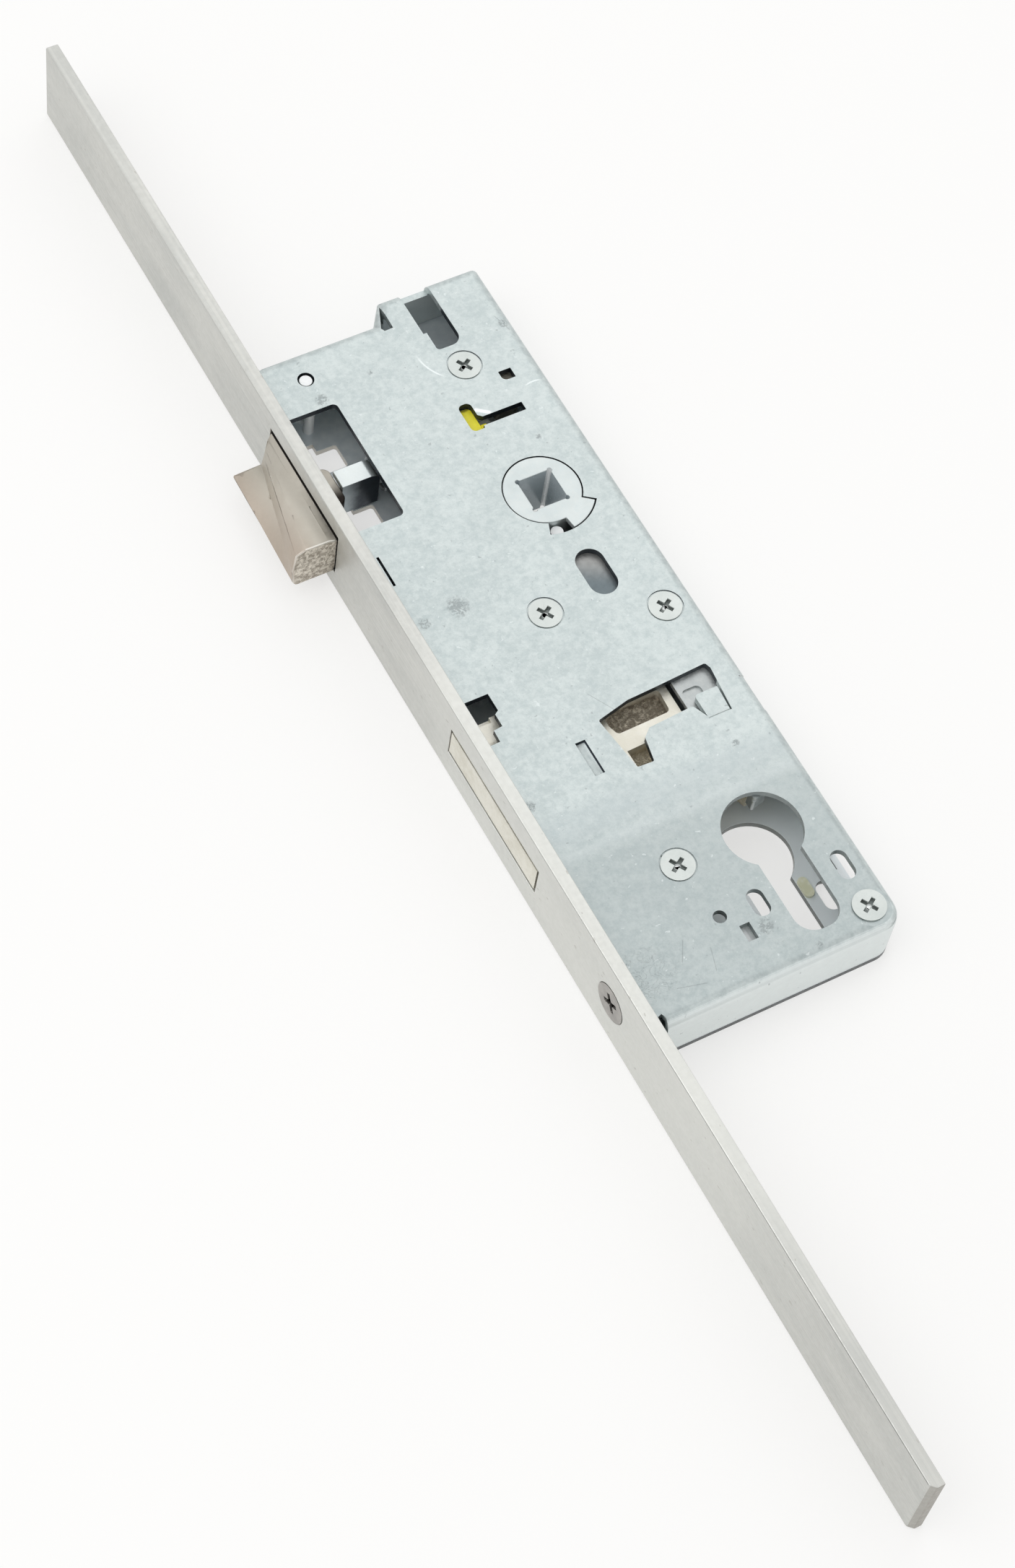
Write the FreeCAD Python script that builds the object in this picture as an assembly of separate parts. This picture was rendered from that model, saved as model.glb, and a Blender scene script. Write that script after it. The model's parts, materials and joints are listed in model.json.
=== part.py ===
import FreeCAD, Part
import math
import os

# Narrow mortise lock, in millimetres.
# The origin is the follower's axis at half the case's thickness.
# +X runs from the forend into the case, +Y from the cylinder to the latch, +Z up through the case.

# case
CASE_THICK = 14.0
SHEET = 1.5
HALF = CASE_THICK / 2
INNER = HALF - SHEET
BACKSET = 45.0
FOREND_THICK = 3.0
FRONT = FOREND_THICK - BACKSET
CASE_BACK = 16.1
CASE_BOTTOM = -122.5
CASE_TOP = 59.6
STEP_TOP = 54.2
STEP_X = -12.1
STEP_RISE_X = -8.3
BEND = 2.7
CORNER_BOTTOM = 5.0
CORNER_TOP = 1.0
SEAM = 0.3
FLANGE_GAP = 0.1

# forend
FOREND_WIDTH = 22.0
FOREND_TOP = 151.0
FOREND_BOTTOM = -226.7
FOREND_EDGE = 0.4
FOREND_CORNER = 1.2

# latch
LATCH_LOW = 7.6
LATCH_HIGH = 38.3
LATCH_HALF = 6.0
LATCH_ROOT_TOP = 5.2
LATCH_OUT = 10.2
LATCH_GAP = 0.3
LATCH_SHANK_HALF = 5.1
LATCH_SHANK = 4.1
LATCH_TRAVEL = 10.0
BOSS_LOW = 16.0
BOSS_HIGH = 26.0
BOSS_END = FRONT + 4.1
LINK_Y = 22.7
LINK_WIDE = 3.6
LINK_THICK = 3.0
LINK_END = 0.6
CARRIER_FRONT = BOSS_END + 0.3
CARRIER_BACK = CARRIER_FRONT + 9.1
CARRIER_LOW = 19.2
CARRIER_HIGH = 23.8
CARRIER_SHEET = 1.4
CARRIER_TOP = 5.1
CARRIER_BEND = 2.6
RIVET_R = 1.2

# follower
BOSS_R = 8.5
RUN = 0.1
COVER_RUN = 0.25
SQUARE = 8.0
SQUARE_RELIEF = 0.5
NOSE_R = 11.4
NOSE_FROM = -82.0
NOSE_TO = -37.5
FAN_R = 11.7
FAN_FROM = -110.5
FAN_TO = -36.0
TURN = 27.0
FLANGE_R = 10.2
FLANGE_LOW = -5.3
FLANGE_TOP = -1.9
ARM_R = 21.5
ARM_ANGLE = 101.0
ARM_TIP = 2.0
ARM_NECK = 1.8
ARM_ROOT = 3.0
PUSH_GAP = 0.3
STOP_PIN_R = 1.4
STOP_PIN_AT = 10.1
STOP_PIN_ANGLE = -100.0

# dead bolt
BOLT_LOW = -79.7
BOLT_HIGH = -43.7
BOLT_TOP = 3.75
BOLT_UNDER = -3.1
BOLT_SLOT_HALF = 4.3
BOLT_GAP = 0.45
BOLT_HEAD_BACK = FRONT + 24.5
BOLT_TAIL_TOP = -51.5
BOLT_TAIL_BACK = 0.5
BOLT_ARM_TOP = -70.0
BOLT_ARM_BACK = 12.2
BOLT_ARM_HALF = 3.0
BOLT_TOOTH = 2.0
BOLT_TRAVEL = 20.0
CAM_R = 15.0
STUD_X = FRONT + 18.0
STUD_Y = -61.0
STUD_R = 2.4

# cylinder hole
CYL_Y = -92.0
CYL_R = 8.6
TAIL_HALF = 5.1
TAIL_END = -117.0
TAIL_CORNER = 4.4

# screws and posts
SCREWS = [(0.6, 36.0), (-14.7, -27.8), (9.1, -36.8), (-19.8, -91.9), (10.5, -116.5)]
CHANGE_POST = SCREWS[1]
TUMBLER_POST = SCREWS[2]
HEAD_R = 3.65
HEAD_DEEP = 1.4
HEAD_GAP = 0.15
GUIDE_AT = (FRONT + 9.5, 46.6)
PIN_AT = (FRONT + 8.6, 42.3)
PIN_R = 1.15
PIN_TOP = 1.0
HEAD_RIM = 0.3
SHANK_R = 1.5
SHANK_LONG = 5.0
POST_R = 2.9
FOOT_R = 1.9
FIT = 0.05

# fixing screw of the cylinder, through the forend
FIX_Y = -110.3
FIX_HEAD_R = 4.6
FIX_SHANK_R = 2.4
FIX_LONG = 26.0
BUSH_R = 4.4
BUSH_LONG = 5.0

# levers under the cover and over the base
LEVER_THICK = 1.2
LEVER_GAP = 0.15
TUMBLER_SWING = 3.0
CHANGE_SWING = 4.5

# springs
LATCH_WIRE = 0.9
LATCH_COIL_R = 3.9
LATCH_TURNS = 10
SEAT_X = -9.6
SEAT_THICK = 1.5
LEG_WIRE = 0.8
LEG_TURNS = 4
LEG_PITCH = 1.3
TUMBLER_COIL_R = POST_R + 0.3 + LEG_WIRE / 2
SPRING_POST = (8.2, -18.6)
SPRING_POST_R = 1.8
FOLLOWER_COIL_R = SPRING_POST_R + 0.3 + LEG_WIRE / 2

V = FreeCAD.Vector
UP = V(0, 0, 1)


def box(x0, x1, y0, y1, z0, z1):
    """Block between two corners."""
    return Part.makeBox(x1 - x0, y1 - y0, z1 - z0, V(x0, y0, z0))


def disc(x, y, r, z0, z1):
    """Upright round bar."""
    return Part.makeCylinder(r, z1 - z0, V(x, y, z0), UP)


def rod(x0, x1, y, z, r):
    """Round bar along X."""
    return Part.makeCylinder(r, x1 - x0, V(x0, y, z), V(1, 0, 0))


def cone(x, y, r0, r1, z0, z1):
    """Upright cone from radius r0 at z0 to r1 at z1."""
    return Part.makeCone(r0, r1, z1 - z0, V(x, y, z0), UP)


def outline(points, z=0.0):
    """Closed wire through (x, y) or (x, y, radius) corners, each rounded by its radius."""
    count = len(points)
    ends = []
    for i in range(count):
        here = V(points[i][0], points[i][1], z)
        before = V(points[i - 1][0], points[i - 1][1], z) - here
        after = V(points[(i + 1) % count][0], points[(i + 1) % count][1], z) - here
        radius = points[i][2] if len(points[i]) > 2 else 0.0
        if radius == 0.0:
            ends.append((here, here, None))
            continue
        half = before.getAngle(after) / 2
        run = min(radius / math.tan(half), 0.49 * before.Length, 0.49 * after.Length)
        first = here + before.normalize() * run
        last = here + after.normalize() * run
        middle = before + after
        centre_far = run / math.cos(half)
        bow = centre_far - run * math.tan(half)
        ends.append((first, last, here + middle.normalize() * bow))
    edges = []
    for i in range(count):
        first, last, bow = ends[i]
        if bow is not None:
            edges.append(Part.Arc(first, bow, last).toShape())
        start = ends[(i + 1) % count][0]
        if last.distanceToPoint(start) > 1e-6:
            edges.append(Part.makeLine(last, start))
    return Part.Wire(edges)


def slab(points, z0, z1):
    """Plate of the given outline between two heights."""
    return Part.Face(outline(points, z0)).extrude(V(0, 0, z1 - z0))


def capsule(x, low, high, r, z0, z1):
    """Round-ended slot along Y between two end centres."""
    body = box(x - r, x + r, low, high, z0, z1)
    return body.fuse([disc(x, low, r, z0, z1), disc(x, high, r, z0, z1)]).removeSplitter()


def polar(r, degrees, x=0.0, y=0.0):
    """Point at a radius and angle from a centre."""
    turn = math.radians(degrees)
    return (x + r * math.cos(turn), y + r * math.sin(turn))


def sector(r0, r1, start, stop, z0, z1, x=0.0, y=0.0):
    """Ring sector between two radii and two angles, in degrees."""
    ring = Part.makeCylinder(r1, z1 - z0, V(x, y, z0), UP, stop - start)
    if r0 > 0:
        ring = ring.cut(disc(x, y, r0, z0 - 1, z1 + 1))
    ring.rotate(V(x, y, 0), UP, start)
    return ring


def cross_recess(x, y, size, z0, z1):
    """Cross-shaped recess of a screw head."""
    arm = 0.24 * size
    hub = cone(x, y, 0.25 * size, 0.45 * size, z0, z1)
    long_arm = box(x - size, x + size, y - arm, y + arm, z0 + 0.2, z1)
    tall_arm = box(x - arm, x + arm, y - size, y + size, z0 + 0.2, z1)
    cross = hub.fuse([long_arm, tall_arm]).removeSplitter()
    cross.rotate(V(x, y, 0), UP, 32)
    return cross


def cylinder_profile(grow, z0, z1):
    """Round hole and tail of the cylinder's profile, grown by a clearance."""
    half = TAIL_HALF + grow
    tail = slab(
        [
            (-half, CYL_Y),
            (-half, TAIL_END - grow, TAIL_CORNER),
            (half, TAIL_END - grow, TAIL_CORNER),
            (half, CYL_Y),
        ],
        z0,
        z1,
    )
    return disc(0, CYL_Y, CYL_R + grow, z0, z1).fuse(tail).removeSplitter()


def case_points(inset=0.0, front=FRONT):
    """Outline of the case seen from above, drawn in by an inset."""
    return [
        (front, CASE_BOTTOM + inset),
        (CASE_BACK - inset, CASE_BOTTOM + inset, max(CORNER_BOTTOM - inset, 0.5)),
        (CASE_BACK - inset, CASE_TOP - inset, max(CORNER_TOP - inset, 0.2)),
        (STEP_RISE_X + 0.8 * inset, CASE_TOP - inset),
        (STEP_X + 0.8 * inset, STEP_TOP - inset),
        (front, STEP_TOP - inset),
    ]


def upper_rim(shape, z, front):
    """Edges at one height, apart from the one along the forend."""
    chosen = []
    for edge in shape.Edges:
        bounds = edge.BoundBox
        level = abs(bounds.ZMin - z) < 1e-6 and abs(bounds.ZMax - z) < 1e-6
        along_front = bounds.XMax < front + 0.01
        if level and not along_front:
            chosen.append(edge)
    return chosen


def hollow(front, low, gap=0.0):
    """Space inside the cover's walls and bends, drawn in by a gap."""
    space = slab(case_points(SHEET + gap, front), low, INNER)
    return space.makeFillet(BEND - SHEET, upper_rim(space, INNER, front))


def cover_shell():
    """Cover sheet with its bent walls, before the cut-outs."""
    front = FRONT + FLANGE_GAP
    outer = slab(case_points(0.0, front), -INNER + SEAM, HALF)
    outer = outer.makeFillet(BEND, upper_rim(outer, HALF, front))
    return outer.cut(hollow(front - 1, -INNER - 1))


def cover_openings():
    """Every hole that goes through the cover."""
    z0 = INNER - 1.3
    z1 = HALF + 1
    top_slot = slab(
        [
            (-3.6, 47.1),
            (-2.8, 47.1),
            (-2.8, 41.9, 0.8),
            (3.4, 41.9, 2.5),
            (3.4, CASE_TOP + 1),
            (-3.6, CASE_TOP + 1),
        ],
        z0,
        z1,
    )
    square = slab([(6.3, 28.7, 1.2), (9.3, 28.7), (9.3, 31.3), (6.3, 31.3)], z0, z1)
    ell = slab(
        [
            (-6.3, 19.3, 1.2),
            (-3.3, 19.3, 0.6),
            (-3.3, 20.0),
            (7.1, 20.0),
            (7.1, 22.2),
            (-2.4, 22.2, 0.3),
            (-3.3, 23.0),
            (-3.3, 26.7, 1.2),
            (-6.3, 26.7, 1.2),
        ],
        z0,
        z1,
    )
    window = slab([(-43.0, 6.6), (-29.5, 6.6, 1.2), (-29.5, 38.4, 1.2), (-43.0, 38.4)], z0, z1)
    slit = box(-40.3, -39.7, -8.7, -0.8, z0, z1)
    front_cut = slab(
        [
            (-43.0, -40.2),
            (-35.1, -40.2),
            (-35.1, -44.6),
            (-36.1, -45.2),
            (-36.1, -48.3),
            (-38.2, -48.5),
            (-38.3, -51.4),
            (-43.0, -51.5),
        ],
        z0,
        z1,
    )
    mechanism = slab(
        [
            (-17.6, -55.5, 0.5),
            (-9.7, -53.7),
            (-2.8, -53.4),
            (9.4, -52.7, 0.6),
            (9.9, -54.2),
            (8.9, -64.7),
            (8.5, -64.8),
            (8.9, -58.6, 0.3),
            (3.4, -58.6, 0.9),
            (3.4, -64.2),
            (1.8, -60.7, 0.8),
            (-0.9, -60.9),
            (-8.9, -61.4),
            (-10.9, -63.1, 0.5),
            (-12.0, -68.8, 0.4),
            (-15.8, -68.6, 0.4),
        ],
        z0,
        z1,
    )
    follower_hole = disc(0, 0, BOSS_R + COVER_RUN, z0, z1)
    fan = sector(0, FAN_R, FAN_FROM, FAN_TO, z0, z1)
    small = [
        square,
        ell,
        window,
        slit,
        front_cut,
        mechanism,
        follower_hole,
        fan,
        disc(GUIDE_AT[0], GUIDE_AT[1], 1.85, z0, z1),
        capsule(0.2, -26.0, -20.4, 3.2, z0, z1),
        capsule(10.5, -107.9, -104.6, 1.85, z0, z1),
        capsule(-9.5, -107.7, -105.0, 1.85, z0, z1),
        disc(-18.2, -105.8, 1.45, z0, z1),
        box(-15.8, -13.5, -113.2, -109.3, z0, z1),
        cylinder_profile(0.0, z0, z1),
    ]
    return [top_slot] + small


def cover_reliefs():
    """Bend reliefs, pressed recesses and the notch in the back wall."""
    corner_low = slab(
        [(-40.6, -123.5), (-39.6, -123.5), (-39.1, -120.6), (-39.6, -119.5), (-40.6, -119.8)], 3.0, HALF + 1
    )
    corner_high = disc(-39.9, STEP_TOP - 0.4, 0.6, 3.0, HALF + 1)
    wedge = slab([(-8.6, 58.2), (-11.3, 52.2), (-10.9, 51.3), (-8.8, 51.4)], 3.0, HALF + 1)
    pressed = box(-24.7, -22.4, -66.8, -58.3, HALF - 1.1, HALF + 1)
    back_notch = box(CASE_BACK - 0.8, CASE_BACK + 1, -67.5, -58.0, -HALF, HALF + 1)
    back_slit = box(CASE_BACK - 1.7, CASE_BACK + 1, -58.6, -58.2, 5.0, HALF + 1)
    back_window = box(CASE_BACK - SHEET - 0.5, CASE_BACK + 1, -107.0, -97.6, -INNER, 1.0)
    dish = cone(10.9, -117.0, 4.3, 5.4, HALF - 0.35, HALF + 0.01)
    tab_bend = box(3.4, 8.5, -64.7, -64.45, HALF - 0.35, HALF + 1)
    return [corner_low, corner_high, wedge, pressed, back_notch, back_slit, back_window, dish, tab_bend]


def case_cover():
    """Cover with its walls, openings, reliefs and countersinks."""
    cover = cover_shell().cut(cover_openings() + cover_reliefs())
    sinks = []
    for x, y in SCREWS:
        sinks.append(cone(x, y, SHANK_R + 0.3, HEAD_R + HEAD_GAP, HALF - HEAD_DEEP, HALF + 0.001))
        sinks.append(disc(x, y, SHANK_R + 0.3, INNER - 1, HALF))
        sinks.append(disc(x, y, HEAD_R + HEAD_RIM, HALF - 0.25, HALF + 1))
    return cover.cut(sinks)


def window_hole(low, high):
    """Rounded square hole in the base, seen through the cover's window."""
    corners = [(-35.0, low, 0.7), (-29.7, low, 0.7), (-29.7, high, 0.7), (-35.0, high, 0.7)]
    return slab(corners, -HALF - 1, -INNER + 1)


def base_plate():
    """Lower shell: flat plate with the bent flange behind the forend."""
    plate = slab(case_points(), -HALF, -INNER)
    flange = box(FRONT, FRONT + SHEET, CASE_BOTTOM + 2.0, STEP_TOP - 2.0, -INNER, INNER - SEAM)
    body = plate.fuse(flange).removeSplitter()
    latch_back = -BACKSET + LATCH_OUT + 0.5
    latch_ends = (LATCH_LOW - LATCH_GAP, LATCH_HIGH + LATCH_GAP)
    bolt_ends = (BOLT_LOW - BOLT_GAP, BOLT_HIGH + BOLT_GAP)
    slot_half = BOLT_SLOT_HALF + 0.2
    holes = [
        box(FRONT - 1, latch_back, latch_ends[0], latch_ends[1], -HALF - 1, INNER + 1),
        box(FRONT - 1, FRONT + 4.0, bolt_ends[0], bolt_ends[1], -slot_half, slot_half),
        rod(FRONT - 1, FRONT + SHEET + 1, FIX_Y, 0, FIX_SHANK_R + 0.3),
        disc(0, 0, BOSS_R + RUN, -HALF - 1, -INNER + 1),
        window_hole(30.4, 36.5),
        window_hole(13.6, 19.2),
        capsule(9.9, -107.6, -104.3, 1.85, -HALF - 1, -INNER + 1),
        box(12.2, 14.6, -101.5, -95.5, -HALF - 1, -INNER + 1),
        cylinder_profile(0.0, -HALF - 1, -INNER + 1),
        disc(STUD_X, STUD_Y, FOOT_R + FIT, -HALF - 1, -INNER + 1),
        disc(SPRING_POST[0], SPRING_POST[1], 1.3 + FIT, -HALF - 1, -INNER + 1),
    ]
    for x, y in SCREWS:
        holes.append(disc(x, y, FOOT_R + FIT, -HALF - 1, -INNER + 1))
    return body.cut(holes)


def forend():
    """Flat strip with its slots and the countersunk hole of the fixing screw."""
    half = FOREND_WIDTH / 2
    strip = box(-BACKSET, FRONT, FOREND_BOTTOM, FOREND_TOP, -half, half)
    long_edges = []
    for edge in strip.Edges:
        bounds = edge.BoundBox
        if bounds.XMax < -BACKSET + 0.01 and bounds.YLength > 10:
            long_edges.append(edge)
    strip = strip.makeFillet(FOREND_EDGE, long_edges)
    corner = slab(
        [
            (-BACKSET - 1, FOREND_BOTTOM - 1),
            (-BACKSET + FOREND_CORNER, FOREND_BOTTOM - 1),
            (-BACKSET + FOREND_CORNER, FOREND_BOTTOM),
            (-BACKSET, FOREND_BOTTOM + FOREND_CORNER),
            (-BACKSET - 1, FOREND_BOTTOM + FOREND_CORNER),
        ],
        -half - 1,
        half + 1,
    )
    latch_half = LATCH_HALF + LATCH_GAP
    bolt_half = BOLT_SLOT_HALF
    sink = Part.makeCone(
        FIX_HEAD_R + HEAD_GAP, FIX_SHANK_R + 0.2, FOREND_THICK - 0.6, V(-BACKSET, FIX_Y, 0), V(1, 0, 0)
    )
    holes = [
        corner,
        box(-BACKSET - 1, FRONT + 1, LATCH_LOW - LATCH_GAP, LATCH_HIGH + LATCH_GAP, -latch_half, latch_half),
        box(-BACKSET - 1, FRONT + 1, BOLT_LOW - BOLT_GAP, BOLT_HIGH + BOLT_GAP, -bolt_half, bolt_half),
        sink,
        rod(-BACKSET - 1, FRONT + 1, FIX_Y, 0, FIX_SHANK_R + 0.2),
    ]
    return strip.cut(holes)


def cover_screws():
    """Five countersunk screws that hold the cover, as one group."""
    group = []
    for x, y in SCREWS:
        head = cone(x, y, SHANK_R, HEAD_R, HALF - HEAD_DEEP, HALF)
        shank = disc(x, y, SHANK_R, HALF - HEAD_DEEP - SHANK_LONG, HALF - HEAD_DEEP)
        recess = cross_recess(x, y, 1.9, HALF - 1.1, HALF + 1)
        group.append(head.fuse(shank).removeSplitter().cut(recess))
    return Part.Compound(group)


def screw_posts():
    """Five threaded posts riveted into the base, as one group."""
    group = []
    room = hollow(FRONT, -HALF - 1, FIT)
    for x, y in SCREWS:
        foot = disc(x, y, FOOT_R, -HALF, -INNER)
        post = disc(x, y, POST_R, -INNER, INNER).common(room).fuse(foot).removeSplitter()
        bore = disc(x, y, SHANK_R + FIT, HALF - HEAD_DEEP - SHANK_LONG - 1, INNER + 1)
        group.append(post.cut(bore))
    return Part.Compound(group)


def guide_post():
    """Post in the small hole near the front top corner."""
    x, y = GUIDE_AT
    post = disc(x, y, 1.4, -INNER, HALF - 0.4)
    foot = disc(x, y, 2.6, -INNER, -INNER + 1.2)
    return post.fuse(foot).removeSplitter()


def window_pin():
    """Short pin in the base, seen at the top of the window."""
    x, y = PIN_AT
    return disc(x, y, PIN_R, -INNER, PIN_TOP)


def fixing_screw():
    """Countersunk screw of the cylinder, entered through the forend."""
    head = Part.makeCone(FIX_HEAD_R, FIX_SHANK_R, FOREND_THICK - 0.7, V(-BACKSET, FIX_Y, 0), V(1, 0, 0))
    shank = rod(-BACKSET + 1, -BACKSET + FIX_LONG, FIX_Y, 0, FIX_SHANK_R)
    recess = cross_recess(0, 0, 2.4, HALF - 1.6, HALF + 1)
    recess.translate(V(0, 0, -HALF))
    recess.rotate(V(0, 0, 0), V(0, 1, 0), -90)
    recess.translate(V(-BACKSET, FIX_Y, 0))
    return head.fuse(shank).removeSplitter().cut(recess)


def screw_bush():
    """Threaded bush behind the forend for the fixing screw."""
    start = FRONT + SHEET
    bush = rod(start, start + BUSH_LONG, FIX_Y, 0, BUSH_R)
    return bush.cut(rod(start - 1, start + BUSH_LONG + 1, FIX_Y, 0, FIX_SHANK_R + FIT))


def screw_guide():
    """Bright guide block of the fixing screw, seen in the small rectangular hole."""
    block = slab([(-17.3, -115.2), (-12.3, -115.2), (-12.3, -106.6, 1.0), (-17.3, -106.6, 1.0)], -INNER, 4.4)
    rib = slab([(-15.2, -115.2), (-14.2, -115.2), (-14.2, -106.6), (-15.2, -106.6)], 4.4, 4.9)
    return block.fuse(rib).removeSplitter().cut(rod(-20, -10, FIX_Y, 0, FIX_SHANK_R + 0.4))


def tail_rib():
    """Small plated rib on the base, right of the cylinder's tail."""
    return capsule(6.3, -103.9, -101.3, 1.1, -INNER, -INNER + 0.8)


def follower_stop_pin():
    """Pin riveted into the base that stops the follower's flange."""
    x, y = polar(STOP_PIN_AT, STOP_PIN_ANGLE)
    return disc(x, y, STOP_PIN_R, -INNER, INNER - 0.1)


def guide_block():
    """Cast block under the small square hole."""
    corners = [(5.2, 27.6, 0.8), (10.8, 27.6, 0.8), (10.8, 32.6, 0.8), (5.2, 32.6, 0.8)]
    return slab(corners, -INNER, INNER - 0.9)


def spring_seat():
    """Bent lug with a window for the link, which the latch spring pushes on."""
    lug = box(SEAT_X, SEAT_X + SEAT_THICK, 16.0, 28.0, -INNER, 5.0)
    foot = box(SEAT_X - 5.0, SEAT_X, 27.0, 34.0, -INNER, -INNER + SEAT_THICK)
    ear = box(SEAT_X, SEAT_X + SEAT_THICK, 28.0, 34.0, -INNER, -INNER + SEAT_THICK)
    half_wide = LINK_WIDE / 2 + 0.2
    half_thick = LINK_THICK / 2 + 0.2
    window = box(SEAT_X - 1, SEAT_X + 3, LINK_Y - half_wide, LINK_Y + half_wide, -half_thick, half_thick)
    return lug.fuse([foot, ear]).removeSplitter().cut(window)


def bolt_guide_stud():
    """Stud in the groove under the dead bolt."""
    foot = disc(STUD_X, STUD_Y, FOOT_R, -HALF, -INNER)
    return disc(STUD_X, STUD_Y, STUD_R, -INNER, -1.0).fuse(foot).removeSplitter()


def spring_post():
    """Post of the follower's spring."""
    x, y = SPRING_POST
    return disc(x, y, SPRING_POST_R, -INNER, 3.6).fuse(disc(x, y, 1.3, -HALF, -INNER)).removeSplitter()


def latch_section(y, points):
    """Wire of a latch head section at one height of the lock."""
    return Part.makePolygon([V(x, y, z) for x, z in points + points[:1]])


def latch_head():
    """Twisted head: a full block at its low end, hollowed away at its high end."""
    root = -BACKSET
    tip = root - LATCH_OUT
    half = LATCH_HALF
    low = [
        (root, LATCH_ROOT_TOP),
        (root - 1.9, half - 0.2),
        (root - 7.4, half),
        (tip + 0.6, half - 1.0),
        (tip, 0.0),
        (tip + 0.5, -half + 1.0),
        (tip + 1.2, -half),
        (root, -half),
    ]
    high = [
        (root, LATCH_ROOT_TOP),
        (root - 0.5, half - 2.4),
        (root - 1.1, 0.5),
        (root - 1.5, -2.6),
        (root - 1.9, -half + 1.1),
        (root - 8.5, -half + 0.7),
        (root - 8.5, -half),
        (root, -half),
    ]
    return Part.makeLoft([latch_section(LATCH_LOW, low), latch_section(LATCH_HIGH, high)], True, True)


def latch_bolt():
    """Latch head with the shank through the forend and the boss behind it."""
    root = -BACKSET
    half = LATCH_SHANK_HALF
    shank = box(root, root + LATCH_SHANK, LATCH_LOW, LATCH_HIGH, -half, LATCH_ROOT_TOP)
    boss = box(root + LATCH_SHANK, BOSS_END, BOSS_LOW, BOSS_HIGH, -4.4, 4.4)
    ends = []
    for edge in boss.Edges:
        bounds = edge.BoundBox
        if bounds.XMin > BOSS_END - 0.01 and bounds.ZLength > 5:
            ends.append(edge)
    boss = boss.makeFillet(2.0, ends)
    return latch_head().fuse([shank, boss]).removeSplitter()


def latch_carrier():
    """Bent bracket that joins the boss to the link: top with a rounded end, side wall and foot."""
    body = box(CARRIER_FRONT, CARRIER_BACK, CARRIER_LOW, CARRIER_HIGH, -5.0, CARRIER_TOP)
    bend = []
    for edge in body.Edges:
        bounds = edge.BoundBox
        if bounds.XMin > CARRIER_BACK - 0.01 and bounds.ZMin > 0:
            bend.append(edge)
    body = body.makeFillet(CARRIER_BEND, bend)
    inner_low = CARRIER_LOW + CARRIER_SHEET
    hollow = box(CARRIER_FRONT - 1, CARRIER_BACK + 1, inner_low, CARRIER_HIGH + 1, -5.0 + CARRIER_SHEET, 3.7)
    rivet_hole = disc(CARRIER_BACK - 3.0, LINK_Y, RIVET_R + FIT, -6, 0)
    return body.cut([hollow, rivet_hole])


def latch_link():
    """Flat bar from the carrier to the lug that the follower's arm pushes."""
    half_wide = LINK_WIDE / 2
    half_thick = LINK_THICK / 2
    start = BOSS_END + FLANGE_GAP
    bar = box(start, LINK_END, LINK_Y - half_wide, LINK_Y + half_wide, -half_thick, half_thick)
    lug = box(lug_front(), LINK_END, LINK_Y - 2.4, LINK_Y + 3.0, -4.9, half_thick)
    step = box(-6.6, LINK_END, LINK_Y - half_wide, LINK_Y + half_wide, -half_thick, half_thick + 0.4)
    hole = disc(CARRIER_BACK - 3.0, LINK_Y, RIVET_R + FIT, -6, 6)
    return bar.fuse([lug, step]).removeSplitter().cut(hole)


def link_rivet():
    """Rivet through the carrier's foot and the link."""
    return disc(CARRIER_BACK - 3.0, LINK_Y, RIVET_R, -5.0, 2.6)


def lug_front():
    """Face of the link's lug, just clear of the follower's arm."""
    return polar(ARM_R, ARM_ANGLE)[0] + ARM_TIP + PUSH_GAP


def yellow_slider():
    """Plastic piece on the link, seen through the L-shaped slot."""
    base = LINK_THICK / 2 + 0.4
    upright = slab([(-6.4, 19.4, 1.1), (-3.2, 19.4), (-3.2, 26.6, 1.1), (-6.4, 26.6, 1.1)], base, INNER - 0.3)
    foot = slab([(-4.0, 19.4), (-1.6, 19.4, 0.4), (-1.6, 21.6, 0.4), (-4.0, 21.6)], base, INNER - 0.5)
    return upright.fuse(foot).removeSplitter()


def follower():
    """Cast follower: boss, square, flange, nose and the arm behind the latch."""
    boss = disc(0, 0, BOSS_R, -HALF, HALF)
    flange = disc(0, 0, FLANGE_R, FLANGE_LOW, FLANGE_TOP)
    relief = math.degrees((STOP_PIN_R + 0.25) / STOP_PIN_AT)
    start = STOP_PIN_ANGLE - relief
    stop = STOP_PIN_ANGLE + TURN + relief
    gap = sector(BOSS_R, FLANGE_R + 1, start, stop, FLANGE_LOW - 1, FLANGE_TOP + 1)
    flange = flange.cut(gap)
    nose = sector(0, NOSE_R, NOSE_FROM, NOSE_TO, INNER, HALF)
    tip = polar(ARM_R, ARM_ANGLE)
    side = polar(1.0, ARM_ANGLE + 90)
    arm_points = [
        (ARM_ROOT * side[0], ARM_ROOT * side[1]),
        (tip[0] + ARM_NECK * side[0], tip[1] + ARM_NECK * side[1]),
        (tip[0] - ARM_NECK * side[0], tip[1] - ARM_NECK * side[1]),
        (-ARM_ROOT * side[0], -ARM_ROOT * side[1]),
    ]
    arm = slab(arm_points, -4.9, FLANGE_TOP).fuse(disc(tip[0], tip[1], ARM_TIP, -4.9, FLANGE_TOP))
    hub = disc(0, 0, FLANGE_R - 0.6, FLANGE_TOP - 1, 3.6)
    hub = hub.cut(sector(BOSS_R, FLANGE_R + 1, -130, -35, FLANGE_TOP - 2, 5))
    body = boss.fuse([flange, nose, arm, hub]).removeSplitter()
    half = SQUARE / 2
    square = box(-half, half, -half, half, -HALF - 1, HALF + 1)
    corners = []
    for sx in (-1, 1):
        for sy in (-1, 1):
            corners.append(disc(sx * (half - 0.1), sy * (half - 0.1), SQUARE_RELIEF, -HALF - 1, HALF + 1))
    return body.cut(square.fuse(corners).removeSplitter())


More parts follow.
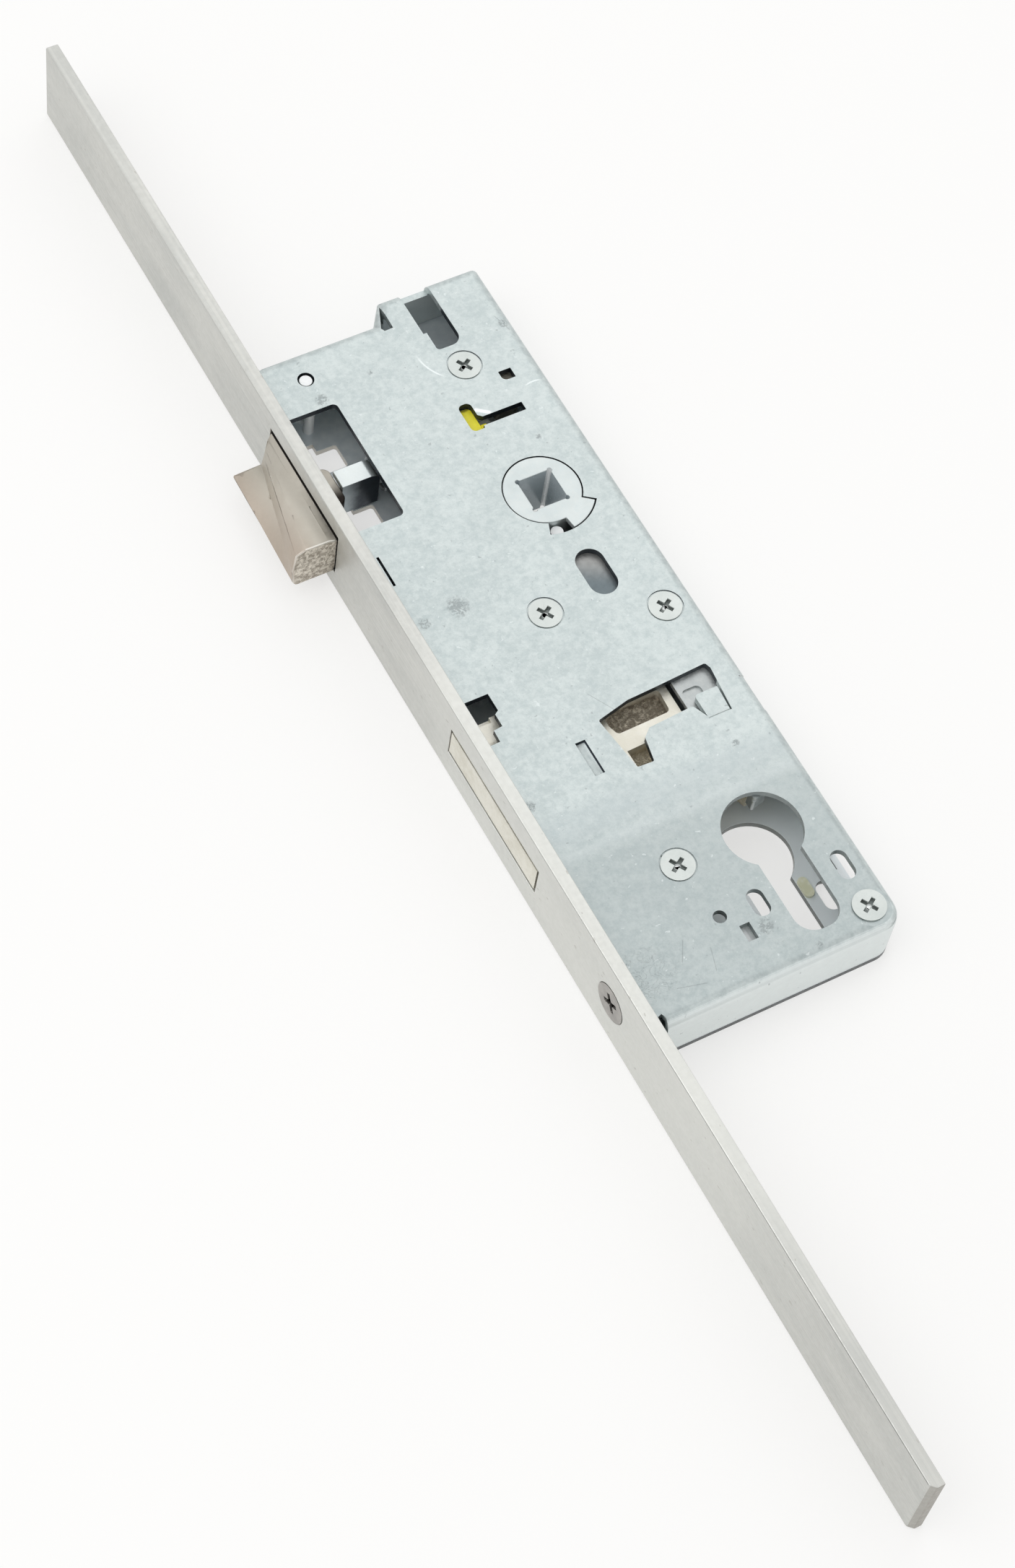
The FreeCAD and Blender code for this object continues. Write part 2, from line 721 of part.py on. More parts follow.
def dead_bolt():
    """Cast bolt: flush head, tail with pockets, toothed arm over the cylinder's cam."""
    top = BOLT_TOP
    under = BOLT_UNDER
    head = box(-BACKSET, BOLT_HEAD_BACK, BOLT_LOW, BOLT_HIGH, under, top)
    tail = slab(
        [
            (BOLT_HEAD_BACK - 1, BOLT_LOW),
            (BOLT_TAIL_BACK, BOLT_LOW),
            (BOLT_TAIL_BACK, BOLT_TAIL_TOP, 1.2),
            (BOLT_HEAD_BACK - 1, BOLT_TAIL_TOP),
        ],
        under,
        top,
    )
    tooth_low = BOLT_LOW - BOLT_TOOTH + 0.2
    arm = slab(
        [
            (BOLT_TAIL_BACK - 1, BOLT_LOW),
            (3.0, BOLT_LOW),
            (3.6, tooth_low),
            (5.4, tooth_low),
            (6.0, CYL_Y + CAM_R + 0.4, 0.8),
            (10.0, CYL_Y + CAM_R + 0.4, 0.8),
            (10.6, tooth_low),
            (BOLT_ARM_BACK, tooth_low),
            (BOLT_ARM_BACK, BOLT_ARM_TOP, 1.5),
            (BOLT_TAIL_BACK - 1, BOLT_ARM_TOP),
        ],
        -BOLT_ARM_HALF,
        BOLT_ARM_HALF,
    )
    pocket_corners = [
        (-15.0, -56.0, 1.0),
        (-14.2, -58.5, 1.0),
        (-1.6, -58.2, 1.0),
        (-1.3, -52.6, 0.8),
        (-14.8, -52.6, 0.8),
    ]
    pocket = slab(pocket_corners, 1.2, top + 1)
    small_pocket = slab([(-14.4, -67.1), (-9.6, -67.3), (-9.5, -62.7), (-14.5, -62.9)], 0.5, top + 1)
    groove_half = STUD_R + 0.15
    groove_front = STUD_X - groove_half + 0.1
    groove_back = STUD_X + BOLT_TRAVEL
    groove = box(groove_front, groove_back, STUD_Y - groove_half, STUD_Y + groove_half, under - 1, -0.6)
    groove_end = disc(groove_back, STUD_Y, groove_half, under - 1, -0.6)
    front_step = box(FRONT + 2.0, FRONT + 5.5, BOLT_HIGH - 1.2, BOLT_HIGH + 1, top - 1.2, top + 1)
    body = head.fuse([tail, arm]).removeSplitter()
    return body.cut([pocket, small_pocket, groove, groove_end, front_step])


def tumbler():
    """Grey sprung plate over the bolt's tail, with its toe beside the cylinder hole."""
    x, y = TUMBLER_POST
    low = INNER - LEVER_GAP - LEVER_THICK
    high = INNER - LEVER_GAP
    plate = slab(
        [
            (1.3, -66.0, 0.8),
            (2.6, -69.5, 1.0),
            (2.6, -84.9, 0.8),
            (6.4, -84.0, 0.8),
            (7.2, -69.5, 1.5),
            (11.0, -66.0, 1.5),
            (12.2, -38.0, 2.0),
            (12.2, -31.5, 2.0),
            (4.6, -15.6, 2.0),
            (-4.4, -15.6, 2.0),
            (-4.6, -30.2, 2.0),
            (3.0, -42.0, 2.0),
            (3.0, -52.4, 1.5),
            (1.3, -52.8, 0.5),
        ],
        low,
        high,
    )
    toe = slab([(2.6, -84.9, 0.5), (6.4, -84.0, 0.5), (6.4, -82.6), (2.6, -82.6)], 1.0, low + 0.1)
    pivot = disc(x, y, POST_R + RUN, low - 1, high + 1)
    dish = [(2.1, -62.2, 0.9), (6.4, -62.2, 0.9), (6.4, -55.8, 1.2), (2.1, -55.8, 0.9)]
    pressed = slab(dish, high - 0.5, high + 1)
    body = plate.fuse(toe).removeSplitter()
    return body.cut([pivot, pressed])


def change_lever():
    """Plated lever under the bolt, from the cylinder hole's rim to the latch side."""
    x, y = CHANGE_POST
    low = -INNER + LEVER_GAP
    high = low + LEVER_THICK
    plate = slab(
        [
            (-11.6, -91.5, 0.8),
            (-9.2, -91.5, 0.5),
            (-9.2, -84.0, 1.0),
            (-7.6, -82.4, 0.6),
            (-9.0, -60.0, 3.0),
            (-10.8, -30.0, 3.0),
            (-11.8, -18.0, 3.0),
            (-13.4, 13.5, 1.6),
            (-17.6, 13.5, 1.6),
            (-18.0, -26.0, 3.0),
            (-17.0, -36.0, 3.0),
            (-13.4, -80.0, 2.0),
        ],
        low,
        high,
    )
    rim = sector(CYL_R + 0.3, CYL_R + 1.5, 128, 178, low, INNER - 0.4, 0, CYL_Y)
    pivot = disc(x, y, POST_R + RUN, low - 1, high + 1)
    return plate.fuse(rim).removeSplitter().cut(pivot)


def half_turn(centre, radius, start, pitch, axis):
    """One half turn of a coil as an arc leaned by its rise, from the start angle."""
    points = []
    for step in (0.0, 0.5, 1.0):
        angle = start + math.pi * step
        rise = pitch * step / 2
        if axis == "x":
            points.append(centre + V(rise, radius * math.cos(angle), radius * math.sin(angle)))
        else:
            points.append(centre + V(radius * math.cos(angle), radius * math.sin(angle), rise))
    return points


def coil(centre, radius, wire, turns, pitch, axis, first_leg=None, last_leg=None):
    """Round wire wound in half-turn arcs, with straight tangent ends."""
    edges = []
    along = V(1, 0, 0) if axis == "x" else UP
    rows = []
    for half in range(2 * turns):
        start = math.pi * half
        row = half_turn(centre + along * (pitch * half / 2), radius, start, pitch, axis)
        rows.append(row)
        edges.append(Part.Arc(row[0], row[1], row[2]).toShape())
    first = edges[0].tangentAt(edges[0].FirstParameter)
    last = edges[-1].tangentAt(edges[-1].LastParameter)
    lead = first_leg if first_leg else 1.2 * wire
    trail = last_leg if last_leg else 1.2 * wire
    begin = rows[0][0] - first * lead
    end = rows[-1][2] + last * trail
    path = Part.Wire([Part.makeLine(begin, rows[0][0])] + edges + [Part.makeLine(rows[-1][2], end)])
    ring = Part.Wire([Part.Circle(begin, first, wire / 2).toShape()])
    print("coil", turns, "turns, least gap to itself", round(pitch - wire, 2), "mm")
    return path.makePipeShell([ring], True, False)


def latch_spring():
    """Coil round the link that drives the latch out."""
    start = CARRIER_BACK + 0.3 + LATCH_WIRE / 2
    stop = SEAT_X - 0.3 - LATCH_WIRE / 2
    pitch = (stop - start) / LATCH_TURNS
    centre = V(start, LINK_Y, 0)
    return coil(centre, LATCH_COIL_R, LATCH_WIRE, LATCH_TURNS, pitch, "x")


def tumbler_spring():
    """Leg spring round the tumbler's post."""
    x, y = TUMBLER_POST
    centre = V(x, y, -1.6)
    spring = coil(centre, TUMBLER_COIL_R, LEG_WIRE, LEG_TURNS, LEG_PITCH, "z", 5.0, 8.0)
    spring.rotate(V(x, y, 0), UP, 180)
    return spring


def follower_spring():
    """Leg spring that turns the follower back."""
    x, y = SPRING_POST
    centre = V(x, y, -5.0)
    spring = coil(centre, FOLLOWER_COIL_R, LEG_WIRE, LEG_TURNS, LEG_PITCH, "z", 3.4, 10.5)
    spring.rotate(V(x, y, 0), UP, 40)
    return spring


NODES = {
    "forend": forend,
    "base_plate": base_plate,
    "case_cover": case_cover,
    "cover_screws": cover_screws,
    "screw_posts": screw_posts,
    "guide_post": guide_post,
    "window_pin": window_pin,
    "fixing_screw": fixing_screw,
    "screw_bush": screw_bush,
    "screw_guide": screw_guide,
    "tail_rib": tail_rib,
    "follower_stop_pin": follower_stop_pin,
    "guide_block": guide_block,
    "spring_seat": spring_seat,
    "bolt_guide_stud": bolt_guide_stud,
    "spring_post": spring_post,
    "latch_bolt": latch_bolt,
    "latch_carrier": latch_carrier,
    "latch_link": latch_link,
    "link_rivet": link_rivet,
    "yellow_slider": yellow_slider,
    "follower": follower,
    "dead_bolt": dead_bolt,
    "tumbler": tumbler,
    "change_lever": change_lever,
    "latch_spring": latch_spring,
    "tumbler_spring": tumbler_spring,
    "follower_spring": follower_spring,
}

os.makedirs("parts", exist_ok=True)
for name, make in NODES.items():
    shape = make()
    print(name, shape.ShapeType, len(shape.Solids), "solids", shape.isValid(), round(shape.Volume, 1))
    shape.exportStep("parts/" + name + ".step")
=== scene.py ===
"""Narrow mortise lock with a long flat forend, dressed and lit on a pale floor."""

import json
import logging
import math
from dataclasses import dataclass, field
from enum import Enum

import bpy
from mathutils import Matrix, Vector

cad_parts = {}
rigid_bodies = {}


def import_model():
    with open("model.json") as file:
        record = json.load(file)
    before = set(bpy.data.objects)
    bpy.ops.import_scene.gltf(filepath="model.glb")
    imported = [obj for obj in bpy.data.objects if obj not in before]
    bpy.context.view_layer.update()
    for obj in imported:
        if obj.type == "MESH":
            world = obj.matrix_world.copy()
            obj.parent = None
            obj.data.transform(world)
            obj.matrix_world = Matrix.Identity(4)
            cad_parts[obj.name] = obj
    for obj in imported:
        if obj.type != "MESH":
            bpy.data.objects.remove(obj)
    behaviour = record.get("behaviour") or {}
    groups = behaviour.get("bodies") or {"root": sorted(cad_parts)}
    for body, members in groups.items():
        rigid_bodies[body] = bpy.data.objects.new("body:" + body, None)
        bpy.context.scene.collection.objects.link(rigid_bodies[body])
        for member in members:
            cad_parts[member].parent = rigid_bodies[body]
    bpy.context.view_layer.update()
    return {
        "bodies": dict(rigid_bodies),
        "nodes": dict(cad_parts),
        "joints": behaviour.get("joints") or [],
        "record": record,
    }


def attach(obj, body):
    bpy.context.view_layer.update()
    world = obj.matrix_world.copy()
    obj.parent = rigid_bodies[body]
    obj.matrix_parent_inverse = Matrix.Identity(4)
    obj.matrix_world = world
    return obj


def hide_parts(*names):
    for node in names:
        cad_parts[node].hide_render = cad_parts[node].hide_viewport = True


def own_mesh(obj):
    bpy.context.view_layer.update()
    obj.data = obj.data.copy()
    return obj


LOG = logging.getLogger("mortise_lock")

# One millimetre in metres, which the scene is built in.
MM = 0.001

# Height of the cover's face in metres.
COVER_TOP = 0.007

# The range that most of a cloud pattern's values lie in.
CLOUD_RANGE = (0.3, 0.7)

# Edges sharper than these many degrees are rounded, and stay sharp in the shading.
ROUND_ANGLE = 32.0
SMOOTH_ANGLE = 50.0
SMOOTH_MARGIN = 8.0

# Points of a solid's mesh that lie this close, in metres, are one point.
SAME_POINT = 0.000002

# Faces that bend by less than this many degrees are one face.
SAME_FACE = 0.3

# Places of the colours among a mix node's inputs and outputs.
MIX_INPUTS = (6, 7)
MIX_OUTPUT = 2

# A screen colour: red, green and blue from 0 to 255.
Tone = tuple[int, int, int]

# Two numbers: where an effect starts and where it is full, or a point. Along an axis they
# are in metres, and for a point in millimetres.
Span = tuple[float, float]

# Three numbers: a place, or a point and a radius.
Place = tuple[float, float, float]

Socket = bpy.types.NodeSocket
Material = bpy.types.Material


class Body(Enum):
    """The moving bodies of the lock."""

    CASE = "case"
    LATCH = "latch"
    FOLLOWER = "follower_body"
    BOLT = "bolt"
    TUMBLER = "tumbler_body"
    CHANGE = "change_body"


class Slot(Enum):
    """The finishes that a colour change may reach."""

    FOREND = "forend_steel"
    CASE = "case_zinc"
    SCREW = "screw_zinc"
    BRIGHT = "cast_zinc"
    LATCH = "nickel"
    BOLT = "bolt_nickel"
    YELLOW = "yellow_zinc"
    GREY = "grey_steel"
    SPRING = "spring_steel"
    PLASTIC = "yellow_plastic"


def paint(red: int, green: int, blue: int) -> tuple[float, float, float, float]:
    """Turns a screen colour into the linear colour that a shader takes.

    Args:
        red: red part, 0 to 255.
        green: green part, 0 to 255.
        blue: blue part, 0 to 255.

    Returns:
        The linear colour with full opacity.
    """
    straight_below = 0.04045
    slope = 12.92
    lift = 0.055
    power = 2.4
    parts = []
    for value in (red, green, blue):
        share = value / 255
        if share <= straight_below:
            parts.append(share / slope)
        else:
            parts.append(((share + lift) / (1 + lift)) ** power)
    return (parts[0], parts[1], parts[2], 1.0)


class Graph:
    """Adds and joins the nodes of one node tree."""

    def __init__(self, tree: bpy.types.NodeTree) -> None:
        """Starts with the tree as it is."""
        self.tree = tree

    def add(self, kind: str) -> bpy.types.ShaderNode:
        """Adds one node of the given kind."""
        return self.tree.nodes.new(kind)

    def feed(self, socket: Socket, value: object) -> None:
        """Links a socket to an output, or sets its value.

        Args:
            socket: the input to fill.
            value: another node's output, or a plain value.
        """
        if isinstance(value, Socket):
            self.tree.links.new(value, socket)
        else:
            socket.default_value = value

    def sum(self, kind: str, one: object, two: object = 0.0) -> Socket:
        """Does one sum.

        Args:
            kind: ADD, MULTIPLY, SUBTRACT, MAXIMUM and so on.
            one: first term.
            two: second term.

        Returns:
            The result.
        """
        node = self.add("ShaderNodeMath")
        node.operation = kind
        self.feed(node.inputs[0], one)
        self.feed(node.inputs[1], two)
        return node.outputs["Value"]

    def clear_ray(self) -> Socket:
        """Tells the rays of the camera, of reflections and of glass from those of plain light.

        Returns:
            1 for such a ray, 0 for plain light.
        """
        ray = self.add("ShaderNodeLightPath").outputs
        seen = self.sum("MAXIMUM", ray["Is Camera Ray"], ray["Is Glossy Ray"])
        return self.sum("MAXIMUM", seen, ray["Is Transmission Ray"])


class Surface(Graph):
    """The shader nodes of one material, with its colour, roughness and relief so far."""

    def __init__(self, name: str, metallic: float) -> None:
        """Starts a material with an empty shader.

        Args:
            name: the material's name.
            metallic: 1 for bare metal, 0 for plastic.
        """
        self.material = bpy.data.materials.new(name)
        self.material.use_nodes = True
        super().__init__(self.material.node_tree)
        self.shader = self.tree.nodes["Principled BSDF"]
        self.shader.inputs["Metallic"].default_value = metallic
        self.place = self.add("ShaderNodeTexCoord").outputs["Object"]
        self.colour = None
        self.rough = None
        self.normal = None

    def stretched(self, x: float, y: float, z: float) -> Socket:
        """Scales the place in the piece.

        Args:
            x: scale along X.
            y: scale along Y.
            z: scale along Z.

        Returns:
            The scaled place.
        """
        node = self.add("ShaderNodeMapping")
        self.feed(node.inputs["Vector"], self.place)
        node.inputs["Scale"].default_value = (x, y, z)
        return node.outputs["Vector"]

    def grain(self, scale: float, detail: float = 3.0, rough: float = 0.55,
              at: Socket | None = None, twist: float = 0.0) -> Socket:
        """Adds a cloud pattern.

        Args:
            scale: patterns per metre.
            detail: how many finer layers it has.
            rough: how strong the finer layers are.
            at: the coordinates it reads, or None for the piece's own.
            twist: how far the pattern bends itself.

        Returns:
            The pattern's value, about 0 to 1.
        """
        node = self.add("ShaderNodeTexNoise")
        self.feed(node.inputs["Vector"], at or self.place)
        node.inputs["Scale"].default_value = scale
        node.inputs["Detail"].default_value = detail
        node.inputs["Roughness"].default_value = rough
        node.inputs["Distortion"].default_value = twist
        return node.outputs["Fac"]

    def spread(self, value: Socket, low: float, high: float,
               to_low: float = 0.0, to_high: float = 1.0) -> Socket:
        """Maps a range of a value onto another, smoothly and clamped.

        Args:
            value: what is mapped.
            low: the value that becomes to_low.
            high: the value that becomes to_high.
            to_low: result at low.
            to_high: result at high.

        Returns:
            The mapped value.
        """
        node = self.add("ShaderNodeMapRange")
        node.interpolation_type = "SMOOTHSTEP"
        self.feed(node.inputs["Value"], value)
        node.inputs["From Min"].default_value = low
        node.inputs["From Max"].default_value = high
        node.inputs["To Min"].default_value = to_low
        node.inputs["To Max"].default_value = to_high
        return node.outputs["Result"]

    def vector(self, kind: str, one: object, two: object = (0, 0, 0), out: str = "Value") -> Socket:
        """Does one sum with vectors.

        Args:
            kind: SUBTRACT, LENGTH, DISTANCE and so on.
            one: first term.
            two: second term, which LENGTH leaves out.
            out: Value for a number, Vector for a vector.

        Returns:
            The result.
        """
        node = self.add("ShaderNodeVectorMath")
        node.operation = kind
        self.feed(node.inputs[0], one)
        self.feed(node.inputs[1], two)
        return node.outputs[out]

    def times(self, one: object, two: object) -> Socket:
        """Returns one value times another."""
        return self.sum("MULTIPLY", one, two)

    def plus(self, one: object, two: object) -> Socket:
        """Returns the sum of two values."""
        return self.sum("ADD", one, two)

    def size_of(self, value: object) -> Socket:
        """Returns a value without its sign."""
        return self.sum("ABSOLUTE", value)

    def mixed(self, one: Socket, two: Socket, share: float) -> Socket:
        """Mixes two patterns, with the given share of the second."""
        return self.plus(self.times(one, 1 - share), self.times(two, share))

    def blend(self, share: object, one: object, two: object) -> Socket:
        """Mixes two colours.

        Args:
            share: 0 gives one, 1 gives two.
            one: first colour, a tone or another node's output.
            two: second colour.

        Returns:
            The mixed colour.
        """
        node = self.add("ShaderNodeMix")
        node.data_type = "RGBA"
        self.feed(node.inputs["Factor"], share)
        for place, colour in zip(MIX_INPUTS, (one, two)):
            self.feed(node.inputs[place], paint(*colour) if isinstance(colour, tuple) else colour)
        return node.outputs[MIX_OUTPUT]

    def tint(self, share: object, tone: object, strength: float = 1.0) -> None:
        """Lays a tone over the surface's colour.

        Args:
            share: where the tone lies, 0 to 1.
            tone: the tone, or another node's output.
            strength: how much of the tone shows at most.
        """
        if strength < 1.0:
            share = self.times(share, strength)
        self.colour = self.blend(share, self.colour, tone)

    def axis(self, letter: str, vector: Socket | None = None) -> Socket:
        """Takes one coordinate.

        Args:
            letter: X, Y or Z.
            vector: what it is taken from, or None for the place in the piece.

        Returns:
            The coordinate.
        """
        node = self.add("ShaderNodeSeparateXYZ")
        self.feed(node.inputs["Vector"], vector or self.place)
        return node.outputs[letter]

    def along(self, letter: str, *spans: float) -> Socket:
        """Maps a range of one coordinate of the place, as spread does."""
        return self.spread(self.axis(letter), *spans)

    def facing(self, letter: str) -> Socket:
        """Tells how far the surface faces along one of the piece's own axes.

        Args:
            letter: X, Y or Z.

        Returns:
            That part of the true normal, -1 to 1.
        """
        geometry = self.add("ShaderNodeNewGeometry")
        turn = self.add("ShaderNodeVectorTransform")
        turn.vector_type = "NORMAL"
        turn.convert_from = "WORLD"
        turn.convert_to = "OBJECT"
        self.feed(turn.inputs["Vector"], geometry.outputs["True Normal"])
        return self.axis(letter, turn.outputs["Vector"])

    def spot(self, x: float, y: float, radius: float, ragged: float = 0.6) -> Socket:
        """Marks a ragged spot on the face that looks along Z.

        Args:
            x: the spot's middle in millimetres.
            y: the spot's middle in millimetres.
            radius: its radius in millimetres.
            ragged: how far its edge wanders, as a share of the radius.

        Returns:
            1 in the spot's middle and 0 outside it.
        """
        shift = self.vector("SUBTRACT", self.place, (x * MM, y * MM, COVER_TOP), "Vector")
        length = self.vector("LENGTH", shift)
        reach = radius * MM
        core = 0.4
        wander = self.times(self.grain(1400.0, detail=3.0), ragged * reach * 2)
        far = self.plus(length, wander)
        return self.spread(far, reach * (1 + ragged), reach * (core + ragged))

    def flat_from(self, x: float, y: float) -> Socket:
        """Returns the vector from an upright axis, in millimetres, to the place, without its height."""
        shift = self.vector("SUBTRACT", self.place, (x * MM, y * MM, 0.0), "Vector")
        return self.vector("MULTIPLY", shift, (1.0, 1.0, 0.0), "Vector")

    def distance(self, x: float, y: float) -> Socket:
        """Returns the distance to an upright axis whose place is given in millimetres."""
        return self.vector("LENGTH", self.flat_from(x, y))

    def ring(self, x: float, y: float, radius: float, width: float) -> Socket:
        """Returns 1 on a thin circle round an upright axis and 0 off it, all in millimetres."""
        off = self.size_of(self.sum("SUBTRACT", self.distance(x, y), radius * MM))
        return self.spread(off, width * MM, 0.0)

    def line(self, x0: float, y0: float, x1: float, y1: float, width: float) -> Socket:
        """Marks a thin straight scratch.

        Args:
            x0: its start in millimetres.
            y0: its start in millimetres.
            x1: its end in millimetres.
            y1: its end in millimetres.
            width: the line's width in millimetres.

        Returns:
            1 on the scratch and 0 off it.
        """
        start = self.flat_from(x0, y0)
        run = Vector(((x1 - x0) * MM, (y1 - y0) * MM, 0.0))
        along = self.vector("DOT_PRODUCT", start, run / run.length_squared)
        share = self.add("ShaderNodeClamp")
        self.feed(share.inputs["Value"], along)
        foot = self.add("ShaderNodeVectorMath")
        foot.operation = "SCALE"
        foot.inputs[0].default_value = run
        self.feed(foot.inputs["Scale"], share.outputs["Result"])
        away = self.vector("DISTANCE", start, foot.outputs["Vector"])
        return self.spread(away, width * MM, 0.0)

    def bump(self, height: Socket, strength: float, depth: float) -> None:
        """Adds a relief to the surface.

        Args:
            height: the height pattern.
            strength: how strongly it shows, 0 to 1.
            depth: the real depth in metres.
        """
        node = self.add("ShaderNodeBump")
        node.inputs["Strength"].default_value = strength
        node.inputs["Distance"].default_value = depth
        self.feed(node.inputs["Height"], height)
        if self.normal is not None:
            self.feed(node.inputs["Normal"], self.normal)
        self.normal = node.outputs["Normal"]

    def done(self) -> Material:
        """Joins the colour, the roughness and the relief to the shader.

        Returns:
            The finished material.
        """
        self.feed(self.shader.inputs["Base Color"], self.colour)
        self.feed(self.shader.inputs["Roughness"], self.rough)
        self.feed(self.shader.inputs["Normal"], self.normal)
        return self.material


@dataclass(frozen=True)
class ForendFinish:
    """Matte pale strip with faint lines along its length and a sawn low end."""

    pale: Tone = (209, 209, 204)
    dull: Tone = (194, 195, 191)
    # The middle tone is painted light: a paler band along the middle of the strip.
    middle: Tone = (224, 225, 220)
    sawn: Tone = (168, 165, 158)
    metallic: float = 0.75
    rough: float = 0.46
    contrast: Span = (0.36, 0.64)
    middle_start: Span = (-0.01, -0.06)
    middle_stop: Span = (-0.20, -0.14)
    middle_strength: float = 0.6
    end_turn: Span = (0.5, 0.8)
    speck_cut: Span = (0.73, 0.78)
    speck_strength: float = 0.45
    line_depth: float = 0.00004
    saw_depth: float = 0.0002

    def material(self) -> Material:
        """Builds the finish.

        Returns:
            The material.
        """
        skin = Surface("forend_satin", self.metallic)
        lines = skin.grain(1.0, detail=4.0, rough=0.6, at=skin.stretched(1600, 14, 2600))
        cloud = skin.grain(90.0, detail=4.0, rough=0.6, at=skin.stretched(1, 0.35, 1))
        mottle = skin.grain(900.0, detail=3.0)
        shade = skin.mixed(lines, cloud, 0.5)
        skin.colour = skin.blend(skin.spread(shade, *self.contrast), self.dull, self.pale)
        # Painted light: a paler band along the middle of the strip.
        middle = skin.along("Y", *self.middle_start)
        stop = skin.along("Y", *self.middle_stop, 0.0, self.middle_strength)
        skin.tint(skin.times(middle, stop), self.middle)
        end = skin.spread(skin.size_of(skin.facing("Y")), *self.end_turn)
        skin.tint(end, self.sawn)
        specks = skin.grain(1100.0, detail=1.0, at=skin.stretched(1, 0.4, 1))
        specks = skin.spread(specks, *self.speck_cut, 0.0, self.speck_strength)
        skin.tint(specks, self.sawn)
        skin.rough = skin.spread(mottle, *CLOUD_RANGE, self.rough - 0.08, self.rough + 0.08)
        skin.bump(lines, 0.25, self.line_depth)
        saw = skin.grain(1.0, detail=2.0, rough=0.5, at=skin.stretched(2500, 200, 500))
        skin.bump(skin.times(saw, end), 0.6, self.saw_depth)
        return skin.done()


@dataclass(frozen=True)
class CoverFinish:
    """Zinc-plated pressed cover: pale blue grey, finely mottled, creased, scuffed and scratched."""

    pale: Tone = (208, 216, 215)
    dull: Tone = (177, 187, 187)
    worn: Tone = (142, 149, 150)
    # The bright tone is painted highlight, laid along the pressed arcs, at the crease's foot and in
    # small glints.
    bright: Tone = (240, 245, 245)
    metallic: float = 0.75
    rough: float = 0.42
    contrast: Span = (0.32, 0.68)

    # Each scuff is its middle and its radius in millimetres, each scratch its two ends.
    scuffs: tuple[Place, ...] = (
        (-31.8, 40.3, 1.9),
        (-30.5, -18.7, 3.0),
        (13.6, 42.6, 1.3),
        (-38.8, -19.6, 1.6),
        (5.3, -72.2, 1.1),
        (-10.8, -111.7, 2.3),
        (-3.4, -119.9, 1.0),
        (-40.1, -67.4, 1.6),
        (6.0, 12.6, 0.8),
        (-19.1, 42.6, 0.8),
    )
    scratches: tuple[tuple[float, float, float, float], ...] = (
        (-27.6, -107.2, -30.1, -111.4),
        (-23.4, -111.0, -24.9, -115.9),
        (-34.0, -116.0, -28.0, -117.5),
        (12.9, 45.0, 14.2, 40.5),
        (-12.0, -57.0, -16.5, -49.0),
    )
    scratch_width: float = 0.12
    worm_cut: Span = (0.016, 0.004)
    speck_cut: Span = (0.71, 0.76)
    glint_cut: Span = (0.70, 0.76)

    # The crease is where the sheet steps up, and the spans beside it count from its edges.
    # Its band carries painted shade and its foot a painted highlight.
    crease_low: float = -80.0
    crease_high: float = -73.0
    crease_shade_tone: Tone = (176, 185, 187)
    band_fade: Span = (-0.001, 0.003)
    foot_rise: Span = (-0.0035, -0.001)
    foot_fade: Span = (-0.001, 0.001)

    # The zone below the crease carries painted shade, and the low end wall painted light.
    low_shade_tone: Tone = (136, 145, 146)
    low_start: Span = (-0.074, -0.086)
    low_change: Span = (-0.120, -0.100)
    low_strength: Span = (0.3, 0.33)
    level: Span = (0.8, 0.95)
    lit_wall_tone: Tone = (238, 243, 242)
    wall_turn: Span = (-0.4, -0.8)

    # The walls of the holes carry painted shade, paler below the crease. They are the upright
    # faces within the inner edges.
    cut: Tone = (50, 57, 63)
    cut_low: Tone = (150, 158, 158)
    cut_change: Span = (-0.080, -0.075)
    upright: Span = (0.75, 0.35)
    sheet: Span = (0.0052, 0.0054)
    seam: Span = (-0.0051, -0.0054)
    tab: Span = (6.3, -61.0)
    tab_reach: Span = (0.0047, 0.0051)
    inner_edges: tuple[tuple[str, float, float], ...] = (
        ("X", 0.0148, 0.0145),
        ("X", -0.0415, -0.0405),
        ("Y", -0.1225, -0.1215),
        ("Y", 0.0525, 0.0515),
    )
    # A painted highlight along the bevel at the inner corner of the L-shaped slot.
    glint: tuple[float, float, float, float] = (-2.9, 24.3, -0.6, 22.6)
    glint_tone: Tone = (255, 255, 255)

    def cut_walls(self, skin: Surface) -> Socket:
        """Marks the upright walls of the holes.

        Args:
            skin: the surface.

        Returns:
            1 on such a wall, 0 elsewhere.
        """
        upright = skin.spread(skin.size_of(skin.facing("Z")), *self.upright)
        share = skin.times(upright, skin.along("Z", *self.sheet))
        share = skin.times(share, skin.spread(skin.distance(*self.tab), *self.tab_reach))
        for letter, outer, inner in self.inner_edges:
            share = skin.times(share, skin.along(letter, outer, inner))
        return share

    def wear(self, skin: Surface) -> Socket:
        """Joins the scuffs into one pattern.

        Args:
            skin: the surface.

        Returns:
            1 on a scuff, 0 elsewhere.
        """
        total = None
        for x, y, radius in self.scuffs:
            mark = skin.spot(x, y, radius)
            total = mark if total is None else skin.sum("MAXIMUM", total, mark)
        speckle = skin.spread(skin.grain(1900.0, detail=2.0, rough=0.6, twist=0.8), 0.42, 0.58)
        return skin.times(total, speckle)

    def hairlines(self, skin: Surface) -> Socket:
        """Joins the scratches and the worm-like tool marks near the low corner.

        Args:
            skin: the surface.

        Returns:
            1 on a scratch, 0 elsewhere.
        """
        total = None
        for ends in self.scratches:
            line = skin.line(*ends, self.scratch_width)
            total = line if total is None else skin.sum("MAXIMUM", total, line)
        cloud = skin.grain(420.0, detail=2.0, rough=0.6, twist=1.8)
        worms = skin.size_of(skin.sum("SUBTRACT", cloud, 0.5))
        worms = skin.spread(worms, *self.worm_cut)
        area = skin.times(skin.spot(-37.5, -111.0, 7.5), 0.8)
        return skin.sum("MAXIMUM", total, skin.times(worms, area))

